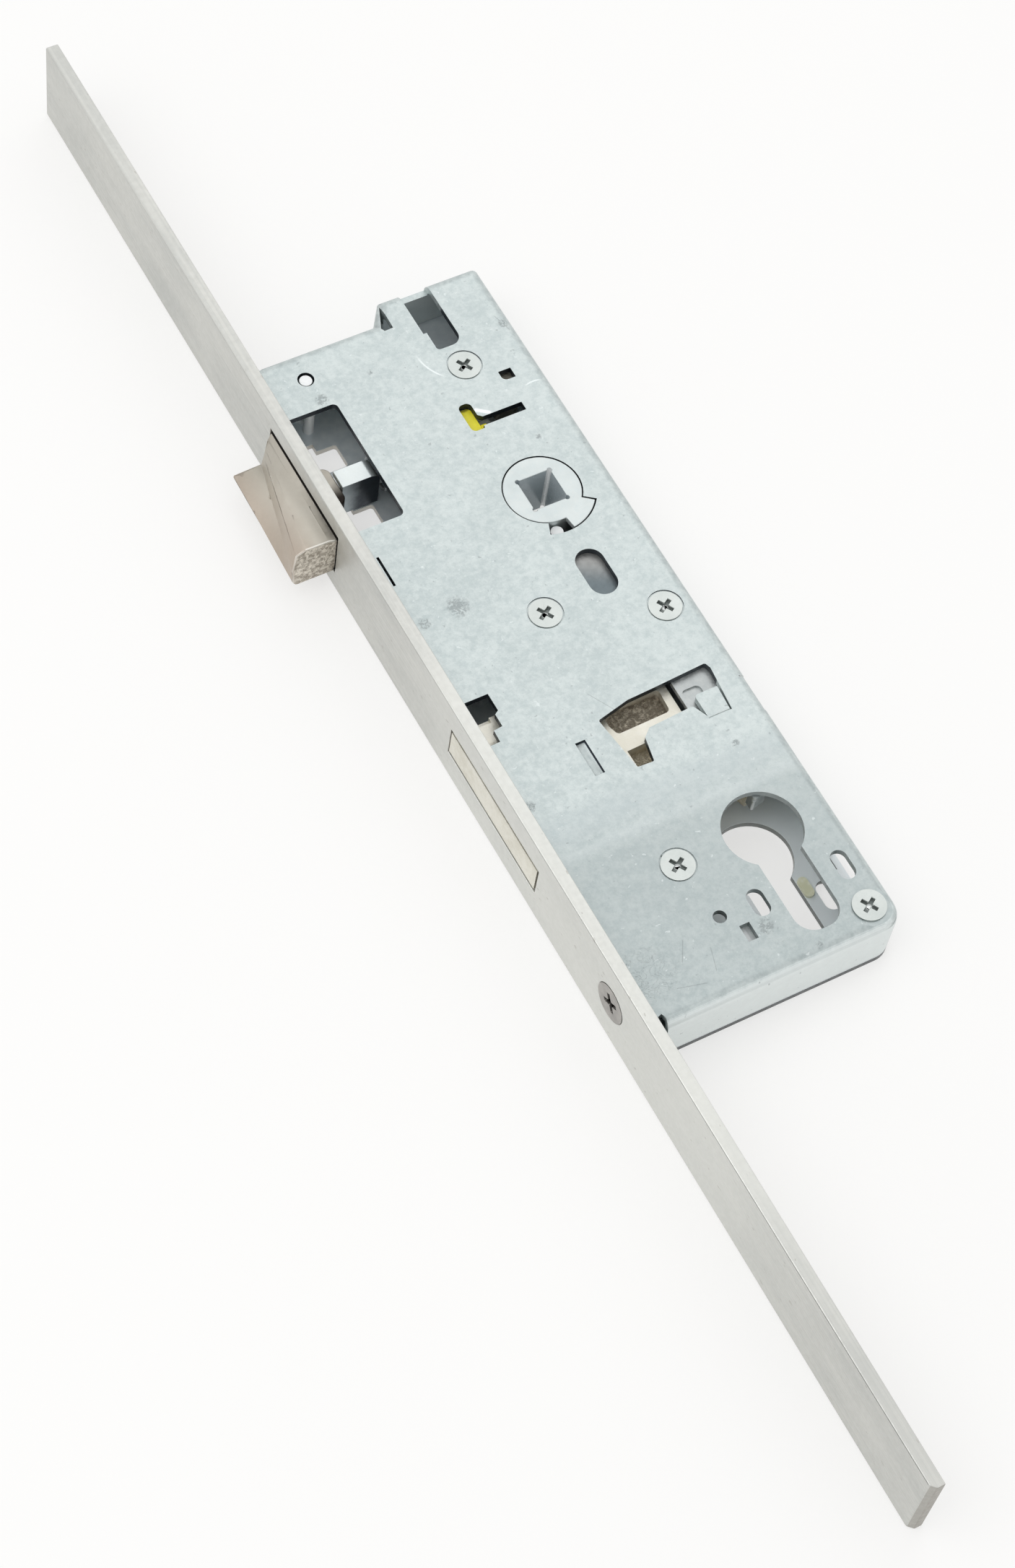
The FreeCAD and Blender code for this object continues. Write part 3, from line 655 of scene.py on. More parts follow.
    def pressed_lines(self, skin: Surface) -> Socket:
        """Marks the painted highlights along the two faint arcs left by the press.

        Args:
            skin: the surface.

        Returns:
            1 on an arc, 0 elsewhere.
        """
        upper = skin.times(skin.ring(3.0, 42.5, 10.8, 0.35), skin.spot(-7.0, 38.4, 5.0, 0.2))
        lower = skin.times(skin.ring(12.0, 20.0, 6.0, 0.3), skin.spot(11.8, 26.0, 2.4, 0.2))
        return skin.sum("MAXIMUM", upper, lower)

    def creased(self, skin: Surface, height: Socket) -> None:
        """Lays painted shade in the band of the crease and a painted highlight at its foot on the
        surface.

        Args:
            skin: the surface.
            height: the place along Y, a little uneven.
        """
        low = self.crease_low * MM
        high = self.crease_high * MM
        fade_start, fade_end = self.band_fade
        band = skin.spread(height, low, (low + high) / 2)
        fade = skin.spread(height, high + fade_start, high + fade_end, 0.3, 0.0)
        skin.tint(skin.times(band, fade), self.crease_shade_tone)
        rise_start, rise_end = self.foot_rise
        fade_start, fade_end = self.foot_fade
        foot = skin.spread(height, low + rise_start, low + rise_end)
        fade = skin.spread(height, low + fade_start, low + fade_end, 0.15, 0.0)
        skin.tint(skin.times(foot, fade), self.bright)

    def zoned(self, skin: Surface) -> None:
        """Lays painted shade on the zone below the crease and painted light on the low end wall.

        Args:
            skin: the surface.
        """
        flat = skin.spread(skin.facing("Z"), *self.level)
        lower = skin.times(skin.along("Y", *self.low_start), flat)
        change = skin.along("Y", *self.low_change, *self.low_strength)
        skin.tint(skin.times(lower, change), self.low_shade_tone)
        bottom = skin.spread(skin.facing("Y"), *self.wall_turn)
        skin.tint(bottom, self.lit_wall_tone, 0.7)

    def cut_dark(self, skin: Surface) -> None:
        """Paints shade on the walls of the holes and darkens the seam against the base plate.

        Args:
            skin: the surface.
        """
        change = skin.along("Y", *self.cut_change)
        cut = skin.blend(change, self.cut_low, self.cut)
        skin.tint(self.cut_walls(skin), cut)
        seam = skin.along("Z", *self.seam)
        skin.tint(seam, self.cut, 0.85)

    def material(self) -> Material:
        """Builds the finish.

        Returns:
            The material.
        """
        skin = Surface("cover_zinc_sheet", self.metallic)
        broad = skin.grain(45.0, detail=4.0, rough=0.6, twist=0.6)
        fine = skin.grain(640.0, detail=4.0, rough=0.7)
        shade = skin.mixed(broad, fine, 0.8)
        skin.colour = skin.blend(skin.spread(shade, *self.contrast), self.dull, self.pale)
        wave = skin.times(skin.sum("SUBTRACT", skin.grain(55.0, detail=2.0), 0.5), 0.006)
        height = skin.plus(skin.axis("Y"), wave)
        self.creased(skin, height)
        self.zoned(skin)
        wear = self.wear(skin)
        skin.tint(wear, self.worn, 0.75)
        hairlines = self.hairlines(skin)
        skin.tint(hairlines, self.worn, 0.3)
        # Painted highlights along the pressed arcs.
        skin.tint(self.pressed_lines(skin), self.bright, 0.7)
        specks = skin.grain(950.0, detail=2.0, rough=0.5)
        skin.tint(skin.spread(specks, *self.speck_cut, 0.0, 0.5), self.worn)
        # Painted highlights as small glints.
        glints = skin.grain(800.0, detail=2.0, rough=0.5, twist=0.5)
        skin.tint(skin.spread(glints, *self.glint_cut, 0.0, 0.35), self.bright)
        # Painted highlight along the bevel of the slot's inner corner.
        skin.tint(skin.line(*self.glint, 0.7), self.glint_tone, 0.9)
        self.cut_dark(skin)
        skin.rough = skin.spread(fine, *CLOUD_RANGE, self.rough - 0.08, self.rough + 0.1)
        step = skin.spread(height, self.crease_low * MM, self.crease_high * MM)
        skin.bump(step, 0.12, 0.0001)
        skin.bump(skin.grain(420.0, detail=4.0, rough=0.6), 0.5, 0.00018)
        skin.bump(skin.grain(110.0, detail=2.0), 0.15, 0.0003)
        skin.bump(skin.sum("MAXIMUM", wear, hairlines), 0.5, 0.00012)
        return skin.done()


@dataclass(frozen=True)
class PlatedFinish:
    """Plated or cast metal piece with fine grain."""

    name: str
    pale: Tone
    dull: Tone
    rough: float
    pitted: float = 0.1
    scale: float = 900.0
    metallic: float = 0.8
    contrast: Span = (0.38, 0.62)

    def mark(self, skin: Surface) -> None:
        """Leaves the surface plain, where a finish has no tones of its own."""

    def material(self) -> Material:
        """Builds the finish.

        Returns:
            The material.
        """
        skin = Surface(self.name, self.metallic)
        fine = skin.grain(self.scale, detail=4.0, rough=0.6)
        broad = skin.grain(self.scale / 6, detail=3.0, rough=0.55)
        shade = skin.mixed(broad, fine, 0.5)
        skin.colour = skin.blend(skin.spread(shade, *self.contrast), self.dull, self.pale)
        skin.rough = skin.spread(fine, *CLOUD_RANGE, self.rough - 0.06, self.rough + 0.08)
        pits = skin.grain(self.scale * 2, detail=3.0)
        skin.bump(pits, 0.2 + self.pitted, 0.00006 + 0.0002 * self.pitted)
        self.mark(skin)
        return skin.done()


@dataclass(frozen=True)
class RecessedFinish(PlatedFinish):
    """Plated piece with painted shade in its recess, darker with the depth along one axis, in
    millimetres, and a painted highlight at the bottom of the recess round each given middle.
    """

    recess_shade: Tone = (88, 92, 92)
    letter: str = "Z"
    top: float = 6.85
    bottom: float = 6.2
    middles: tuple[Span, ...] = ()
    middle_reach: Span = (0.0008, 0.0004)
    glint: Tone = (240, 243, 242)

    def mark(self, skin: Surface) -> None:
        """Lays its painted shade and highlights on the surface.

        Args:
            skin: the surface.
        """
        depth = skin.along(self.letter, self.top * MM, self.bottom * MM)
        skin.tint(depth, self.recess_shade)
        for x, y in self.middles:
            near = skin.spread(skin.distance(x, y), *self.middle_reach)
            skin.tint(skin.times(near, depth), self.glint)


@dataclass(frozen=True)
class FollowerFinish(PlatedFinish):
    """Bright cast zinc, with the walls of the square hole and a painted highlight down its far corner.
    """

    walls: Tone = (176, 186, 190)
    wall_rough: float = 0.2
    wall_metallic: float = 0.2
    hole: float = 6.4
    upright: Span = (0.5, 0.2)
    corner_highlight: Tone = (250, 252, 252)
    corner_highlight_at: Span = (3.9, 3.9)
    corner_highlight_reach: Span = (0.0007, 0.0005)

    def mark(self, skin: Surface) -> None:
        """Lays its walls' tone and a painted highlight down the far corner on the surface.

        Args:
            skin: the surface.
        """
        reach = skin.distance(0.0, 0.0)
        inside = skin.spread(reach, self.hole * MM, (self.hole - 0.3) * MM)
        upright = skin.spread(skin.size_of(skin.facing("Z")), *self.upright)
        share = skin.times(inside, upright)
        skin.tint(share, self.walls)
        corner = skin.spread(skin.distance(*self.corner_highlight_at), *self.corner_highlight_reach)
        skin.tint(skin.times(corner, share), self.corner_highlight)
        metal = skin.spread(share, 0.2, 0.8, self.metallic, self.wall_metallic)
        skin.feed(skin.shader.inputs["Metallic"], metal)
        smooth = skin.times(share, self.rough - self.wall_rough)
        skin.rough = skin.sum("SUBTRACT", skin.rough, smooth)


@dataclass(frozen=True)
class CarrierFinish(PlatedFinish):
    """Bright bracket with painted shade on its side wall, darker towards its back and its foot, and on
    its end.
    """

    wall_shade_front: Tone = (176, 186, 190)
    wall_shade_back: Tone = (46, 54, 62)
    darkening: Span = (-0.0372, -0.0325)
    side_turn: Span = (-0.35, -0.75)
    end_turn: Span = (0.35, 0.9)

    def mark(self, skin: Surface) -> None:
        """Lays its painted shade on the surface.

        Args:
            skin: the surface.
        """
        cloud = skin.times(skin.sum("SUBTRACT", skin.grain(500.0, detail=3.0), 0.5), 0.002)
        along = skin.plus(skin.axis("X"), cloud)
        change = skin.spread(along, *self.darkening)
        wall = skin.blend(change, self.wall_shade_front, self.wall_shade_back)
        skin.tint(skin.spread(skin.facing("Y"), *self.side_turn), wall)
        end = skin.spread(skin.facing("X"), *self.end_turn)
        skin.tint(end, self.wall_shade_back)


@dataclass(frozen=True)
class TumblerFinish(PlatedFinish):
    """Stamped plate, with painted light above and painted shade below, round the oblong hole."""

    shaded: Tone = (108, 118, 122)
    lit: Tone = (160, 160, 158)
    lean: float = 0.6
    change: Span = (-0.026, -0.017)
    hole_at: Span = (1.0, -22.5)
    hole_reach: Span = (0.0085, 0.0075)

    def mark(self, skin: Surface) -> None:
        """Lays its painted light and shade on the surface.

        Args:
            skin: the surface.
        """
        slant = skin.plus(skin.axis("Y"), skin.times(skin.axis("X"), self.lean))
        tone = skin.blend(skin.spread(slant, *self.change), self.shaded, self.lit)
        near = skin.spread(skin.distance(*self.hole_at), *self.hole_reach)
        skin.tint(near, tone)


@dataclass(frozen=True)
class LatchFinish(PlatedFinish):
    """Satin nickel, warmer towards the tip, with a rough cast end, a painted highlight along its rim,
    painted shade near the forend and a painted shadow on its neck.
    """

    warm: Tone = (180, 166, 152)
    warm_from: Span = (-0.0475, -0.0545)
    root_shade: Tone = (172, 167, 157)
    root: Span = (-0.0495, -0.0470)
    cast: Tone = (158, 149, 136)
    glint: Tone = (228, 221, 209)
    end_turn: Span = (-0.93, -0.98)
    grit: Span = (0.34, 0.64)
    rim: Tone = (246, 244, 238)
    rim_turn: Span = (-0.12, -0.3)
    rim_stop: Span = (-0.95, -0.85)
    head: Span = (-0.0452, -0.0456)
    boss_shade: Tone = (38, 32, 28)
    boss_low: Span = (0.0225, 0.0175)
    boss_front: Span = (-0.0415, -0.0411)
    neck: Tone = (42, 39, 36)
    neck_front: Span = (-0.04505, -0.04495)
    neck_back: Span = (-0.0411, -0.0415)
    neck_rough: float = 0.9

    def mark(self, skin: Surface) -> None:
        """Lays its tones, its painted highlight and its painted shade and shadow on the surface.

        Args:
            skin: the surface.
        """
        tip = skin.along("X", *self.warm_from)
        skin.tint(tip, self.warm, 0.75)
        # Painted shade near the forend.
        root = skin.along("X", *self.root)
        skin.tint(root, self.root_shade, 0.55)
        turned = skin.facing("Y")
        end = skin.spread(turned, *self.end_turn)
        grit = skin.spread(skin.grain(1100.0, detail=4.0, rough=0.65, twist=0.5), *self.grit)
        skin.tint(end, skin.blend(grit, self.cast, self.glint))
        # Painted highlight along the head's rim.
        edge = skin.times(skin.spread(turned, *self.rim_turn), skin.spread(turned, *self.rim_stop))
        head = skin.along("X", *self.head)
        skin.tint(skin.times(edge, head), self.rim, 0.85)
        shade = skin.times(skin.along("Y", *self.boss_low), skin.along("X", *self.boss_front))
        skin.tint(shade, self.boss_shade)
        # Painted shadow on the neck inside the forend's slot.
        neck = skin.times(skin.along("X", *self.neck_front), skin.along("X", *self.neck_back))
        skin.tint(neck, self.neck)
        skin.rough = skin.sum("MAXIMUM", skin.rough, skin.times(neck, self.neck_rough))
        skin.bump(skin.times(grit, end), 0.6, 0.0003)


@dataclass(frozen=True)
class InsideFinish(PlatedFinish):
    """Inner face of the base plate, paler below, with a pale tone on the cut edges above and painted
    shade on the cut edges below and on the outer edge.
    """

    edge: Tone = (222, 218, 210)
    edge_shade_low: Tone = (128, 132, 130)
    outer_edge_shade: Tone = (70, 74, 75)
    floor_low: Tone = (240, 246, 248)
    low_metallic: float = 0.1
    low_start: Span = (-0.070, -0.076)
    upright: Span = (0.9, 0.7)
    sheet: Span = (-0.0052, -0.0054)
    outer_start: Span = (-0.1205, -0.1215)

    def mark(self, skin: Surface) -> None:
        """Lays its tones and its painted shade on the surface.

        Args:
            skin: the surface.
        """
        place = skin.axis("Y")
        down = skin.spread(place, *self.low_start)
        skin.tint(down, self.floor_low, 0.85)
        metal = skin.spread(place, *self.low_start, self.metallic, self.low_metallic)
        skin.feed(skin.shader.inputs["Metallic"], metal)
        upright = skin.spread(skin.size_of(skin.facing("Z")), *self.upright)
        low = skin.along("Z", *self.sheet)
        edge = skin.blend(down, self.edge, self.edge_shade_low)
        edge = skin.blend(skin.spread(place, *self.outer_start), edge, self.outer_edge_shade)
        skin.tint(skin.times(upright, low), edge)


@dataclass(frozen=True)
class BoltFinish(PlatedFinish):
    """Worn cream nickel, with brown grainy pocket floors in the tail and painted light on the lower
    pocket's floor.
    """

    floor: Tone = (140, 131, 117)
    edge: Tone = (206, 197, 180)
    low_pocket_light: Tone = (236, 228, 208)
    tail: Span = (-0.022, -0.019)
    pocket: Span = (0.0028, 0.0015)
    low_start: Span = (-0.0605, -0.0625)
    grit: Span = (0.38, 0.64)

    def mark(self, skin: Surface) -> None:
        """Lays its tones and its painted light on the surface.

        Args:
            skin: the surface.
        """
        tail = skin.along("X", *self.tail)
        depth = skin.times(skin.along("Z", *self.pocket), tail)
        grit = skin.spread(skin.grain(1000.0, detail=4.0, rough=0.72, twist=0.3), *self.grit)
        pocket = skin.blend(grit, self.floor, self.edge)
        low = skin.along("Y", *self.low_start)
        pocket = skin.blend(skin.times(low, 0.7), pocket, self.low_pocket_light)
        skin.tint(depth, pocket)
        skin.bump(skin.times(grit, depth), 0.8, 0.0003)


@dataclass(frozen=True)
class PlasticFinish:
    """Moulded yellow plastic with painted shade at its upper end."""

    pale: Tone = (255, 246, 70)
    dull: Tone = (246, 234, 46)
    end_shade: Tone = (120, 112, 22)
    contrast: Span = (0.35, 0.65)
    end: Span = (0.0262, 0.0268)
    rough: Span = (0.35, 0.5)

    def material(self) -> Material:
        """Builds the finish.

        Returns:
            The material.
        """
        skin = Surface("slider_plastic", 0.0)
        cloud = skin.grain(600.0, detail=3.0)
        skin.colour = skin.blend(skin.spread(cloud, *self.contrast), self.dull, self.pale)
        height = skin.plus(skin.axis("Y"), skin.times(cloud, 0.001))
        skin.tint(skin.spread(height, *self.end), self.end_shade, 0.8)
        skin.rough = skin.spread(cloud, *CLOUD_RANGE, *self.rough)
        skin.bump(skin.grain(3000.0), 0.15, 0.00005)
        return skin.done()


class Finishes:
    """Every finish of the lock, by the slot that it belongs to."""

    def __init__(self) -> None:
        """Builds each finish once, from its name, pale and dull tones and roughness."""
        finishes = {
            Slot.FOREND: ForendFinish(),
            Slot.CASE: CoverFinish(),
            Slot.SCREW: RecessedFinish(
                "screw_bright_zinc", (208, 213, 210), (196, 202, 199), 0.42, recess_shade=(120, 126, 124),
                middles=((0.6, 36.0), (-14.7, -27.8), (9.1, -36.8), (-19.8, -91.9), (10.5, -116.5)),
            ),
            Slot.BRIGHT: FollowerFinish("follower_bright_zinc", (212, 218, 217), (200, 208, 208), 0.46),
            Slot.LATCH: LatchFinish(
                "latch_satin_nickel", (206, 202, 192), (198, 193, 182), 0.55, pitted=0.02
            ),
            Slot.BOLT: BoltFinish(
                "bolt_cast_nickel", (232, 230, 220), (217, 214, 201), 0.45, pitted=0.15
            ),
            Slot.YELLOW: PlatedFinish(
                "yellow_plating", (232, 231, 194), (196, 194, 142), 0.35, metallic=0.3
            ),
            Slot.GREY: TumblerFinish("grey_steel", (196, 200, 199), (172, 177, 177), 0.38),
            Slot.SPRING: PlatedFinish(
                "spring_wire", (170, 172, 172), (140, 142, 143), 0.3, pitted=0.05
            ),
            Slot.PLASTIC: PlasticFinish(),
        }
        self.by_slot = {slot: finish.material() for slot, finish in finishes.items()}
        self.inside = InsideFinish(
            "case_inside", (236, 243, 246), (222, 231, 236), 0.34, scale=500.0, metallic=0.35
        ).material()
        # The pins take a near-white, hardly metallic zinc: painted light that stands in for their
        # bright reflection.
        self.pin = PlatedFinish(
            "lit_pin_zinc", (248, 250, 250), (238, 242, 242), 0.4, pitted=0.02, metallic=0.15
        ).material()
        self.carrier = CarrierFinish(
            "carrier_bright_zinc", (216, 222, 221), (204, 211, 211), 0.36, pitted=0.05
        ).material()
        self.fixing = RecessedFinish(
            "fixing_screw_steel", (176, 173, 168), (150, 147, 143), 0.38,
            recess_shade=(48, 46, 44), letter="X", top=-44.7, bottom=-44.2,
        ).material()
        self.rib = PlatedFinish(
            "rib_plating", (250, 250, 230), (232, 232, 200), 0.35, metallic=0.1
        ).material()
        self.cast_block = PlatedFinish(
            "guide_block_cast", (196, 190, 176), (176, 170, 158), 0.45, pitted=0.2
        ).material()


def only(piece: bpy.types.Object) -> None:
    """Selects one piece alone and makes it the active one.

    Args:
        piece: the piece.
    """
    bpy.ops.object.select_all(action="DESELECT")
    piece.select_set(True)
    bpy.context.view_layer.objects.active = piece


def settled(piece: bpy.types.Object, even_faces: bool = True, angle: float = SMOOTH_ANGLE) -> None:
    """Shades a piece smooth, with its flat faces kept flat beside their rounded edges.

    Args:
        piece: the piece.
        even_faces: whether large faces lead the shading, for pieces with flat faces.
        angle: edges sharper than this many degrees stay sharp.
    """
    only(piece)
    bpy.ops.object.shade_smooth_by_angle(angle=math.radians(angle))
    if not even_faces:
        return
    even = piece.modifiers.new("even_shading", "WEIGHTED_NORMAL")
    even.mode = "FACE_AREA"
    even.weight = 100
    even.keep_sharp = True
    bpy.ops.object.modifier_apply(modifier=even.name)


def bevelled(piece: bpy.types.Object, width: float, angle: float, held: bool) -> None:
    """Rounds the sharp edges of a piece.

    Args:
        piece: the piece.
        width: the rounding in millimetres.
        angle: edges sharper than this many degrees are rounded.
        held: whether the rounding narrows where its edges are too short for it.
    """
    only(piece)
    bevel = piece.modifiers.new("edge_round", "BEVEL")
    bevel.width = width * MM
    bevel.segments = 2
    bevel.limit_method = "ANGLE"
    bevel.angle_limit = math.radians(angle)
    bevel.use_clamp_overlap = held
    bevel.miter_outer = "MITER_SHARP"
    bpy.ops.object.modifier_apply(modifier=bevel.name)


def dressed(piece: bpy.types.Object, node: str, body: Body, finish: Material) -> None:
    """Gives a piece its finish and its place in the lock.

    Args:
        piece: the piece.
        node: the solid that it stands for.
        body: the body that it rides on.
        finish: the material.
    """
    piece.data.materials.clear()
    piece.data.materials.append(finish)
    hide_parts(node)
    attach(piece, body.value)
    LOG.info("%s rides on %s, %d faces", piece.name, body.value, len(piece.data.polygons))


def merged_copy(node: bpy.types.Object, name: str) -> bpy.types.Object:
    """Copies a solid's mesh into a new piece and joins its loose triangles.

    Args:
        node: the solid.
        name: the new piece's name.

    Returns:
        The new piece, at the origin.
    """
    piece = bpy.data.objects.new(name, node.data.copy())
    bpy.context.scene.collection.objects.link(piece)
    only(piece)
    bpy.ops.object.mode_set(mode="EDIT")
    bpy.ops.mesh.select_all(action="SELECT")
    bpy.ops.mesh.remove_doubles(threshold=SAME_POINT)
    bpy.ops.mesh.dissolve_limited(angle_limit=math.radians(SAME_FACE))
    bpy.ops.object.mode_set(mode="OBJECT")
    return piece


@dataclass
class Assembly:
    """A group of pieces that are made and dressed together."""

    frame: dict
    finishes: Finishes

    def soft(self, node: str, body: Body, slot: Slot, width: float, even_faces: bool = True,
             finish: Material | None = None, angle: float = ROUND_ANGLE, held: bool = False) -> None:
        """Stands a piece with rounded edges in the place of a solid.

        Args:
            node: the solid's name.
            body: the body that it rides on.
            slot: the slot of its finish.
            width: the rounding of its edges in millimetres, 0 for none.
            even_faces: whether large faces lead the shading.
            finish: its material, or None for the slot's own.
            angle: edges sharper than this many degrees are rounded.
            held: whether the rounding narrows where its edges are too short for it.
        """
        piece = merged_copy(self.frame["nodes"][node], node + "_piece")
        if width > 0:
            bevelled(piece, width, angle, held)
        settled(piece, even_faces, max(SMOOTH_ANGLE, angle + SMOOTH_MARGIN))
        dressed(piece, node, body, finish or self.finishes.by_slot[slot])

    def keep(self, node: str, slot: Slot, finish: Material | None = None) -> None:
        """Dresses a solid that stays as it is.

        Args:
            node: the solid's name.
            slot: the slot of its finish.
            finish: its material, or None for the slot's own.
        """
        solid = self.frame["nodes"][node]
        for place in solid.material_slots:
            place.material = finish or self.finishes.by_slot[slot]
        LOG.info("%s keeps its solid", node)


@dataclass
class CaseShell(Assembly):
    """Forend, base plate, cover and what is fixed to them."""

    forend_round: float = 0.25
    sheet_round: float = 0.12
    cover_round: float = 0.0
    screw_round: float = 0.08
    fixing_round: float = 0.1

    def build(self) -> None:
        """Builds the fixed pieces. The cover stays unrounded, since rounding breaks its large face."""
        self.soft("forend", Body.CASE, Slot.FOREND, self.forend_round)
        self.soft("base_plate", Body.CASE, Slot.CASE, self.sheet_round, finish=self.finishes.inside)
        self.soft("case_cover", Body.CASE, Slot.CASE, self.cover_round)
        self.soft("cover_screws", Body.CASE, Slot.SCREW, self.screw_round)
        self.soft("fixing_screw", Body.CASE, Slot.SCREW, self.fixing_round, finish=self.finishes.fixing)
        for node in ("guide_post", "window_pin", "follower_stop_pin"):
            self.keep(node, Slot.SCREW, self.finishes.pin)
        for node in ("screw_posts", "screw_bush", "spring_seat", "bolt_guide_stud", "spring_post"):
            self.keep(node, Slot.GREY)
        self.keep("screw_guide", Slot.BRIGHT, self.finishes.pin)
        self.keep("tail_rib", Slot.YELLOW, self.finishes.rib)
        self.keep("guide_block", Slot.LATCH, self.finishes.cast_block)


@dataclass
class LatchSet(Assembly):
    """Latch bolt with its carrier, link, slider and spring.

    The spring's seat is a place along X, and the throw is how far the latch goes in, both in
    millimetres. Nothing reads them.
    """

    seat: float = -9.9
    throw: float = 10.0
    latch_round: float = 0.35
    latch_angle: float = 62.0
    small_round: float = 0.12

    def spring(self) -> None:
        """Stands a copy of the spring, with its own mesh, in the place of the solid one."""
        piece = merged_copy(self.frame["nodes"]["latch_spring"], "latch_spring_piece")
        settled(piece, even_faces=False)
        dressed(piece, "latch_spring", Body.CASE, self.finishes.by_slot[Slot.SPRING])
        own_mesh(piece)

    def build(self) -> None:
        """Builds the latch."""
        self.soft("latch_bolt", Body.LATCH, Slot.LATCH, self.latch_round, even_faces=False,
                  angle=self.latch_angle)
        self.soft("latch_carrier", Body.LATCH, Slot.BRIGHT, self.small_round,
                  finish=self.finishes.carrier)
        self.keep("latch_link", Slot.BRIGHT, self.finishes.pin)
        self.keep("link_rivet", Slot.GREY)
        self.spring()
        self.soft("yellow_slider", Body.LATCH, Slot.PLASTIC, self.small_round)


@dataclass
class FollowerSet(Assembly):
    """The nut that the spindle turns, and its spring."""

    edge_round: float = 0.2

    def build(self) -> None:
        """Builds the follower."""
        self.soft("follower", Body.FOLLOWER, Slot.BRIGHT, self.edge_round)
        self.keep("follower_spring", Slot.SPRING)


@dataclass
class BoltSet(Assembly):
    """Dead bolt, tumbler and change lever."""

    bolt_round: float = 0.25
    lever_round: float = 0.1

    def build(self) -> None:
        """Builds the dead bolt and its levers."""
        self.soft("dead_bolt", Body.BOLT, Slot.BOLT, self.bolt_round, held=True)
        self.soft("tumbler", Body.TUMBLER, Slot.GREY, self.lever_round, held=True)
        self.soft("change_lever", Body.CHANGE, Slot.YELLOW, self.lever_round, held=True)
        self.keep("tumbler_spring", Slot.SPRING)


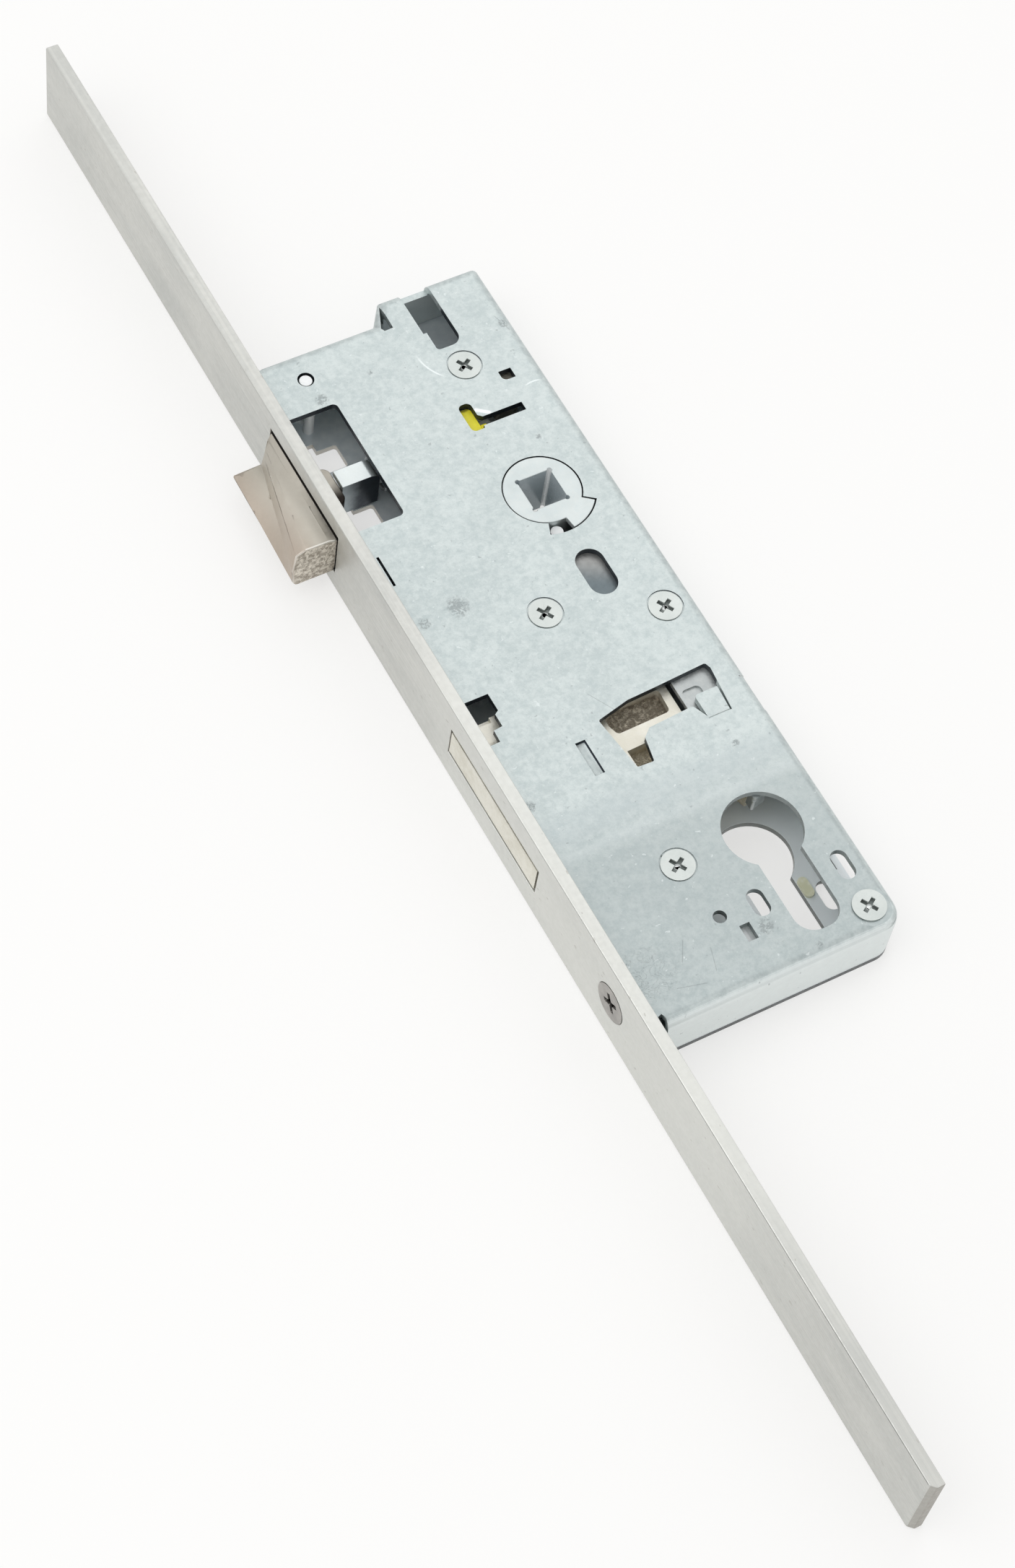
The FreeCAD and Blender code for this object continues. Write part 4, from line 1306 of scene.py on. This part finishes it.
@dataclass
class Studio:
    """Camera, lamps, world and floor.

    Places are in metres. The floor passes under the two edges given by their X and Z. Each lamp
    has a name, a place, a size in metres and a power in watts.
    """

    camera_at: Place = (-0.274024, -0.357147, 0.619648)
    aims_at: Place = (-0.039102, -0.057405, 0.0)
    roll: float = 10.9844
    lens: float = 82.072
    floor_high: Span = (0.0146, -0.007)
    floor_low: Span = (-0.042, -0.011)
    floor_size: float = 3.0
    sky: float = 0.8
    lamps: list[tuple[str, Place, float, float]] = field(default_factory=lambda: [
        ("key_lamp", (-0.6, 0.05, 0.85), 0.9, 2.0),
        ("fill_lamp", (0.55, 0.55, 0.9), 0.9, 1.1),
    ])
    floor_glow: float = 0.6
    floor_pale: Tone = (253, 253, 252)
    floor_dull: Tone = (250, 250, 249)
    floor_rough: float = 0.7

    def camera(self) -> None:
        """Places the camera at the picture's angle."""
        spot = Vector(self.camera_at)
        back = (spot - Vector(self.aims_at)).normalized()
        level = Vector((0, 0, 1)).cross(back).normalized()
        over = back.cross(level)
        angle = math.radians(self.roll)
        right = math.cos(angle) * level + math.sin(angle) * over
        up = back.cross(right)
        data = bpy.data.cameras.new("camera")
        data.sensor_width = 36.0
        data.lens = self.lens
        data.clip_start = 0.01
        data.clip_end = 20.0
        camera = bpy.data.objects.new("camera", data)
        turn = Matrix((right, up, back)).transposed().to_4x4()
        camera.matrix_world = Matrix.Translation(spot) @ turn
        bpy.context.scene.collection.objects.link(camera)
        bpy.context.scene.camera = camera

    def lights(self) -> None:
        """Hangs the soft lamps."""
        for name, at, size, power in self.lamps:
            data = bpy.data.lights.new(name, "AREA")
            data.shape = "DISK"
            data.size = size
            data.energy = power
            lamp = bpy.data.objects.new(name, data)
            lamp.location = at
            lamp.rotation_euler = (Vector(at) - Vector(self.aims_at)).to_track_quat("Z", "Y").to_euler()
            bpy.context.scene.collection.objects.link(lamp)

    def world(self) -> None:
        """Surrounds the lock with white, which lights it at a plain level."""
        world = bpy.data.worlds.new("studio")
        bpy.context.scene.world = world
        world.use_nodes = True
        graph = Graph(world.node_tree)
        level = graph.add("ShaderNodeMapRange")
        graph.feed(level.inputs["Value"], graph.clear_ray())
        level.inputs["To Min"].default_value = self.sky
        level.inputs["To Max"].default_value = 1.0
        background = graph.tree.nodes["Background"]
        background.inputs["Color"].default_value = (1.0, 1.0, 1.0, 1.0)
        graph.feed(background.inputs["Strength"], level.outputs["Result"])

    def floor_finish(self) -> Material:
        """Builds the pale floor, which partly glows to the camera so that shadows on it stay faint.

        Returns:
            The material.
        """
        skin = Surface("floor_white", 0.0)
        cloud = skin.grain(8.0, detail=2.0)
        skin.colour = skin.blend(cloud, self.floor_dull, self.floor_pale)
        skin.rough = self.floor_rough
        skin.bump(skin.grain(900.0), 0.02, 0.0001)
        skin.done()
        glow = skin.add("ShaderNodeEmission")
        glow.inputs["Color"].default_value = (1.0, 0.995, 0.985, 1.0)
        mix = skin.add("ShaderNodeMixShader")
        skin.feed(mix.inputs["Fac"], skin.times(skin.clear_ray(), self.floor_glow))
        skin.feed(mix.inputs[1], skin.shader.outputs["BSDF"])
        skin.feed(mix.inputs[2], glow.outputs["Emission"])
        skin.feed(skin.tree.nodes["Material Output"].inputs["Surface"], mix.outputs["Shader"])
        return skin.material

    def floor(self) -> None:
        """Lays the pale floor under the lock, which leans on its forend's edge."""
        low = Vector((self.floor_low[0], 0, self.floor_low[1]))
        high = Vector((self.floor_high[0], 0, self.floor_high[1]))
        slope = math.atan2(high.z - low.z, high.x - low.x)
        middle = (low + high) / 2
        bpy.ops.object.select_all(action="DESELECT")
        bpy.ops.mesh.primitive_plane_add(size=self.floor_size, location=middle, rotation=(0, -slope, 0))
        floor = bpy.context.active_object
        floor.name = "floor"
        bpy.ops.object.transform_apply(location=True, rotation=True, scale=True)
        floor.data.materials.append(self.floor_finish())
        LOG.info("floor laid at %.2f degrees", math.degrees(slope))

    def build(self) -> None:
        """Sets up the whole studio."""
        self.camera()
        self.lights()
        self.world()
        self.floor()
        bpy.context.scene.view_settings.view_transform = "Standard"


def main() -> None:
    """Builds the lock and its studio."""
    logging.basicConfig(level=logging.INFO, format="%(name)s: %(message)s")
    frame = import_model()
    finishes = Finishes()
    for kind in (CaseShell, LatchSet, FollowerSet, BoltSet):
        kind(frame, finishes).build()
    Studio().build()


if __name__ == "__main__":
    main()
